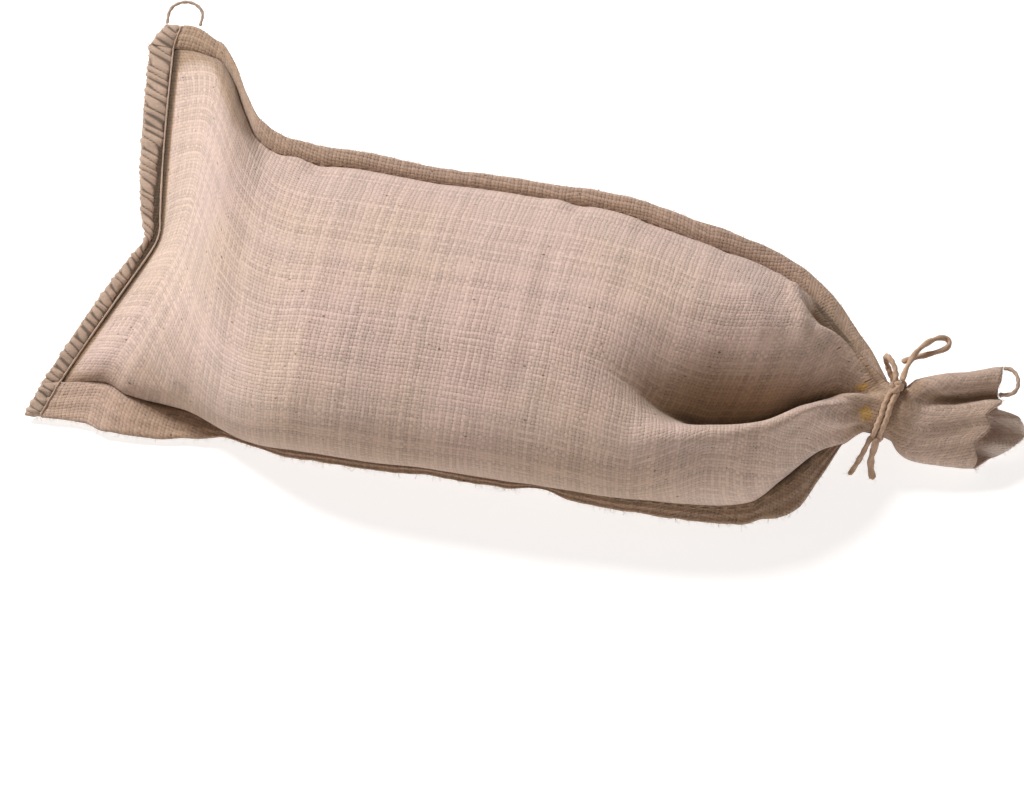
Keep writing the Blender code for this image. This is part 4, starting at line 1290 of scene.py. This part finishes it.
def build_loose_ends(twine):
    """The tie's three ends, the seam's last thread and the loop of edge yarn, each at its whole length."""
    ends = (
        End("tie_end_top", (), TIE_TOP_ROUTE, twine.diameter, "bare", "loose", "jute_twine", 3.0),
        End("tie_end_front", FRONT_LEAD_IN, TIE_FRONT_ROUTE, twine.opened_diameter, "bare", "hanging",
            "jute_twine", 3.0),
        End("tie_end_side", SIDE_LEAD_IN, TIE_SIDE_ROUTE, twine.diameter, "bare", "hanging", "jute_twine", 2.0),
        End("thread_end", (), THREAD_ROUTE, twine.thread_diameter, "object", "loose", "jute_thread", 1.0),
        End("selvedge_end", (), SELVEDGE_ROUTE, twine.selvedge_diameter, "object", "loose", "jute_thread", 1.0),
    )
    for end in ends:
        path = in_metres(smooth_route(end.lead_in + end.route, end.thick / MM / 3.5))
        shape = bmesh.new()
        twisted_tube(shape, path, end.thick, twine.twist * end.slack_twist, sides=14)
        capped(shape)
        tint = twine.colour if end.slot == "jute_twine" else twine.thread_colour
        piece = finished(end.node + "_yarn", shape, twine_material(end.node + "_jute", tint))
        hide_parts(end.node)
        tuple(path[0])
        path_length(path)
        [tuple(point) for point in path]


def fibre_roots():
    """Where loose fibres may stand: places on the seams' edges, the mouth's rim and the twine, and which way out
    they point."""
    places = []
    for far_side in (True, False):
        for x in range(*FIBRE_SEAM):
            tip, inner = (flange_point(x, share, far_side, True) for share in (1.0, 0.8))
            places.append((tip, (tip - inner).normalized()))
    edge, inner = seam_edge(True, 0.0), seam_edge(True, SEAM_BAND)
    places += [(a, (a - b).normalized()) for a, b in zip(edge, inner)]
    for i in range(FIBRE_RIM):
        rim, inner = (frill_point(i / FIBRE_RIM, 0.01, depth, False) for depth in (1.0, 0.94))
        places.append((rim, (rim - inner).normalized()))
    for route in (TIE_TOP_ROUTE, TIE_FRONT_ROUTE, TIE_SIDE_ROUTE, TIE_ARCH_ROUTE):
        path = smooth_route(route, 1.0)
        places += [(a, (b - a).normalized()) for a, b in zip(path, path[1:])] * FIBRE_TWINE
    return places


def build_fibres(twine):
    """Fine loose fibres along the seams, the mouth and the twine."""
    shape = bmesh.new()
    chance = random.Random(11)
    places = fibre_roots()
    for _ in range(twine.fibres):
        root, out = chance.choice(places)
        spread = Vector([chance.gauss(0, FIBRE_SPREAD) for _ in range(3)])
        tip = root + (out + spread).normalized() * chance.uniform(*FIBRE_LENGTHS)
        tip.z = max(tip.z, 0.3)
        sag = Vector([chance.gauss(0, FIBRE_SAG) for _ in range(3)])
        fibre(shape, metres(root), metres(tip), sag * MM, FIBRE_WIDTH)
    piece = finished("loose_fibres", shape, plain_material("loose_jute", twine.fibre_colour, 0.9))


def build_stage(look):
    """A plain pale floor, soft studio light and the camera at the photograph's angle."""
    shape = bmesh.new()
    bmesh.ops.create_grid(shape, x_segments=1, y_segments=1, size=FLOOR_SIZE / 2)
    mesh = bpy.data.meshes.new("floor")
    shape.to_mesh(mesh)
    shape.free()
    paint = plain_material("pale_floor", look.floor_colour, 0.9)
    paint.node_tree.nodes["Principled BSDF"].inputs["Emission Color"].default_value = (1.0, 1.0, 1.0, 1.0)
    paint.node_tree.nodes["Principled BSDF"].inputs["Emission Strength"].default_value = look.floor_glow
    mesh.materials.append(paint)
    floor = bpy.data.objects.new("floor", mesh)
    bpy.context.scene.collection.objects.link(floor)
    floor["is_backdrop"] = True

    world = bpy.data.worlds.new("pale_room")
    world.use_nodes = True
    world.node_tree.nodes["Background"].inputs["Color"].default_value = colour(look.room_colour)
    world.node_tree.nodes["Background"].inputs["Strength"].default_value = look.room_light
    scene = bpy.context.scene
    scene.world = world
    scene.view_settings.view_transform = "Standard"
    for name, place, size, power in (
        ("key_light", KEY_PLACE, KEY_SIZE, look.key_light),
        ("fill_light", FILL_PLACE, FILL_SIZE, look.fill_light),
    ):
        light = bpy.data.lights.new(name, "AREA")
        light.shape = "DISK"
        light.size = size
        light.energy = power
        lamp = bpy.data.objects.new(name, light)
        lamp.location = place
        lamp.rotation_euler = (-Vector(place)).to_track_quat("-Z", "Y").to_euler()
        scene.collection.objects.link(lamp)

    toward = Vector((math.sin(look.azimuth) * math.cos(look.elevation),
                     -math.cos(look.azimuth) * math.cos(look.elevation), math.sin(look.elevation)))
    right = Vector((math.cos(look.azimuth), math.sin(look.azimuth), 0))
    up = toward.cross(right)
    aim = metres(AIM_FLOOR_POINT) - up * AIM_BELOW
    camera = bpy.data.cameras.new("camera")
    camera.lens = camera.sensor_width * look.distance / look.framed_width
    view = bpy.data.objects.new("camera", camera)
    view.location = aim + toward * look.distance
    view.rotation_euler = toward.to_track_quat("Z", "Y").to_euler()
    scene.collection.objects.link(view)
    scene.camera = view


# What a user can change

def length_property(name, description, default):
    return FloatProperty(name=name, description=description, default=default, unit="LENGTH", precision=4)


def colour_property(name, description, default):
    return FloatVectorProperty(name=name, description=description, default=default, subtype="COLOR",
                               size=3, min=0.0, max=1.0)


class SackClothLook(bpy.types.PropertyGroup):
    """Sizes and colours of the cloth."""

    weft_pitch: length_property("Weft pitch", "Distance between the threads that cross the sack", 0.00285)
    warp_pitch: length_property("Warp pitch", "Distance between the threads that run along the sack", 0.0026)
    yarn_share: FloatProperty(name="Yarn width", description="Width of a yarn as a share of the pitch",
                              default=0.88, min=0.4, max=1.0)
    unevenness: FloatProperty(name="Unevenness", description="How far yarns bunch and part, in pitches",
                              default=0.65, min=0.0, max=2.0)
    pink_colour: colour_property("Pinkish beige", "The cloth's main colour", (0.63, 0.465, 0.405))
    straw_colour: colour_property("Straw", "The yellower parts of the cloth", (0.61, 0.46, 0.365))
    grey_colour: colour_property("Greyish beige", "The duller patches of the cloth", (0.55, 0.43, 0.38))
    # Also painted shade: the hollow and the underside are painted this brown
    slack_and_shade_brown: colour_property("Brown", "The slack cloth of the corners, seams and mouth", (0.34, 0.22, 0.13))
    # Painted light: the near corner and the mouth's end are painted this paler colour
    painted_light_colour: colour_property("Pale", "The palest cloth, by the near corner and the mouth", (0.80, 0.67, 0.58))
    stain_colour: colour_property("Ochre", "The stains by the tie", (0.55, 0.32, 0.06))
    fleck_colour: colour_property("Bark", "Dark flecks of bark in the yarn", (0.12, 0.075, 0.045))
    sand_colour: colour_property("Filled gaps", "What shows between the yarns where the sack is full",
                                 (0.27, 0.175, 0.11))
    gap_colour: colour_property("Empty gaps", "What shows between the yarns where it is empty",
                                (0.08, 0.05, 0.03))


class SackTwineLook(bpy.types.PropertyGroup):
    """Sizes and colours of the twine and thread."""

    diameter: length_property("Twine", "Diameter of the tie's twine", 0.0039)
    opened_diameter: length_property("Opened twine", "Width of the front end, whose plies have opened", 0.005)
    selvedge_diameter: length_property("Edge yarn", "Diameter of the yarn that loops out of the mouth", 0.003)
    thread_diameter: length_property("Thread", "Diameter of the seams' thread", 0.0022)
    twist: length_property("Twist", "Length of one turn of the twine's two plies", 0.011)
    colour: colour_property("Twine colour", "Colour of the tie's twine", (0.54, 0.37, 0.255))
    thread_colour: colour_property("Thread colour", "Colour of the bottom seam's thread", (0.50, 0.37, 0.285))
    stitch_colour: colour_property("Stitch colour", "Colour of the side seams' thread", (0.30, 0.21, 0.14))
    fibre_colour: colour_property("Fibre colour", "Colour of the loose fibres", (0.56, 0.43, 0.31))
    fibres: IntProperty(name="Fibres", description="How many loose fibres stand out of the edges",
                        default=2400, min=0, max=6000)


class SackStageLook(bpy.types.PropertyGroup):
    """The camera and the light."""

    azimuth: FloatProperty(name="Azimuth", description="How far round the camera stands",
                           default=math.radians(13.7), subtype="ANGLE")
    elevation: FloatProperty(name="Elevation", description="How high the camera looks down from",
                             default=math.radians(53.0), subtype="ANGLE")
    distance: length_property("Distance", "How far off the camera stands", 10.0)
    framed_width: length_property("Framed width", "Width that the picture takes in at the sack", 0.763)
    floor_colour: colour_property("Floor", "Colour of the floor", (0.55, 0.55, 0.55))
    floor_glow: FloatProperty(name="Floor glow", description="How much light the floor gives off itself",
                              default=0.74)
    room_light: FloatProperty(name="Room", description="Strength of the light from all round", default=0.24)
    room_colour: colour_property("Room colour", "Colour of the light from all round", (1.0, 0.82, 0.70))
    key_light: FloatProperty(name="Key", description="Power of the main light, in watts", default=412.0)
    fill_light: FloatProperty(name="Fill", description="Power of the fill light, in watts", default=4.0)


# The add-on

class SACK_OT_stage(bpy.types.Operator):
    """Make the floor, the lights and the camera"""

    bl_idname = "sack.stage"
    bl_label = "Stage"

    def execute(self, context):
        build_stage(context.scene.sack_stage)
        return {"FINISHED"}


class SACK_OT_loose_ends(bpy.types.Operator):
    """Make the loose ends of twine, thread and edge yarn"""

    bl_idname = "sack.loose_ends"
    bl_label = "Loose ends"

    def execute(self, context):
        build_loose_ends(context.scene.sack_twine)
        return {"FINISHED"}


class SACK_OT_cloth(bpy.types.Operator):
    """Make the filled, tied cloth"""

    bl_idname = "sack.cloth"
    bl_label = "Cloth"

    def execute(self, context):
        build_cloth(context.scene.sack_cloth)
        return {"FINISHED"}


class SACK_OT_seams(bpy.types.Operator):
    """Sew the bottom seam and both side seams"""

    bl_idname = "sack.seams"
    bl_label = "Seams"

    def execute(self, context):
        build_bottom_seam(context.scene.sack_twine)
        build_side_stitches(context.scene.sack_twine)
        return {"FINISHED"}


class SACK_OT_tie(bpy.types.Operator):
    """Tie the neck with twine"""

    bl_idname = "sack.tie"
    bl_label = "Tie"

    def execute(self, context):
        build_tie(context.scene.sack_twine)
        return {"FINISHED"}


class SACK_OT_fibres(bpy.types.Operator):
    """Add the loose fibres of the edges and the twine"""

    bl_idname = "sack.fibres"
    bl_label = "Fibres"

    def execute(self, context):
        build_fibres(context.scene.sack_twine)
        return {"FINISHED"}


STEPS = (SACK_OT_stage, SACK_OT_loose_ends, SACK_OT_cloth, SACK_OT_seams, SACK_OT_tie, SACK_OT_fibres)


class SACK_PT_panel(bpy.types.Panel):
    """Sizes, colours and steps of the sack"""

    bl_label = "Filled jute sack"
    bl_idname = "SACK_PT_panel"
    bl_space_type = "VIEW_3D"
    bl_region_type = "UI"
    bl_category = "Sack"

    def draw(self, context):
        for group in (context.scene.sack_cloth, context.scene.sack_twine, context.scene.sack_stage):
            box = self.layout.box()
            for name in group.__annotations__:
                box.prop(group, name)
        for step in STEPS:
            self.layout.operator(step.bl_idname)


LOOKS = {"sack_cloth": SackClothLook, "sack_twine": SackTwineLook, "sack_stage": SackStageLook}
CLASSES = (*LOOKS.values(), *STEPS, SACK_PT_panel)


def register():
    for cls in CLASSES:
        bpy.utils.register_class(cls)
    for name, look in LOOKS.items():
        setattr(bpy.types.Scene, name, PointerProperty(type=look))


def unregister():
    for name in LOOKS:
        delattr(bpy.types.Scene, name)
    for cls in reversed(CLASSES):
        bpy.utils.unregister_class(cls)


def main():
    register()
    bpy.ops.sack.stage()
    bpy.ops.sack.loose_ends()
    bpy.ops.sack.cloth()
    bpy.ops.sack.seams()
    bpy.ops.sack.tie()
    bpy.ops.sack.fibres()
    bpy.context.view_layer.update()
    boxes = {"cad": CAD_BOX, "visual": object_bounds()}
    plain = {name: [[float(value) for value in corner] for corner in box] for name, box in boxes.items()}


if __name__ == "__main__":
    main()
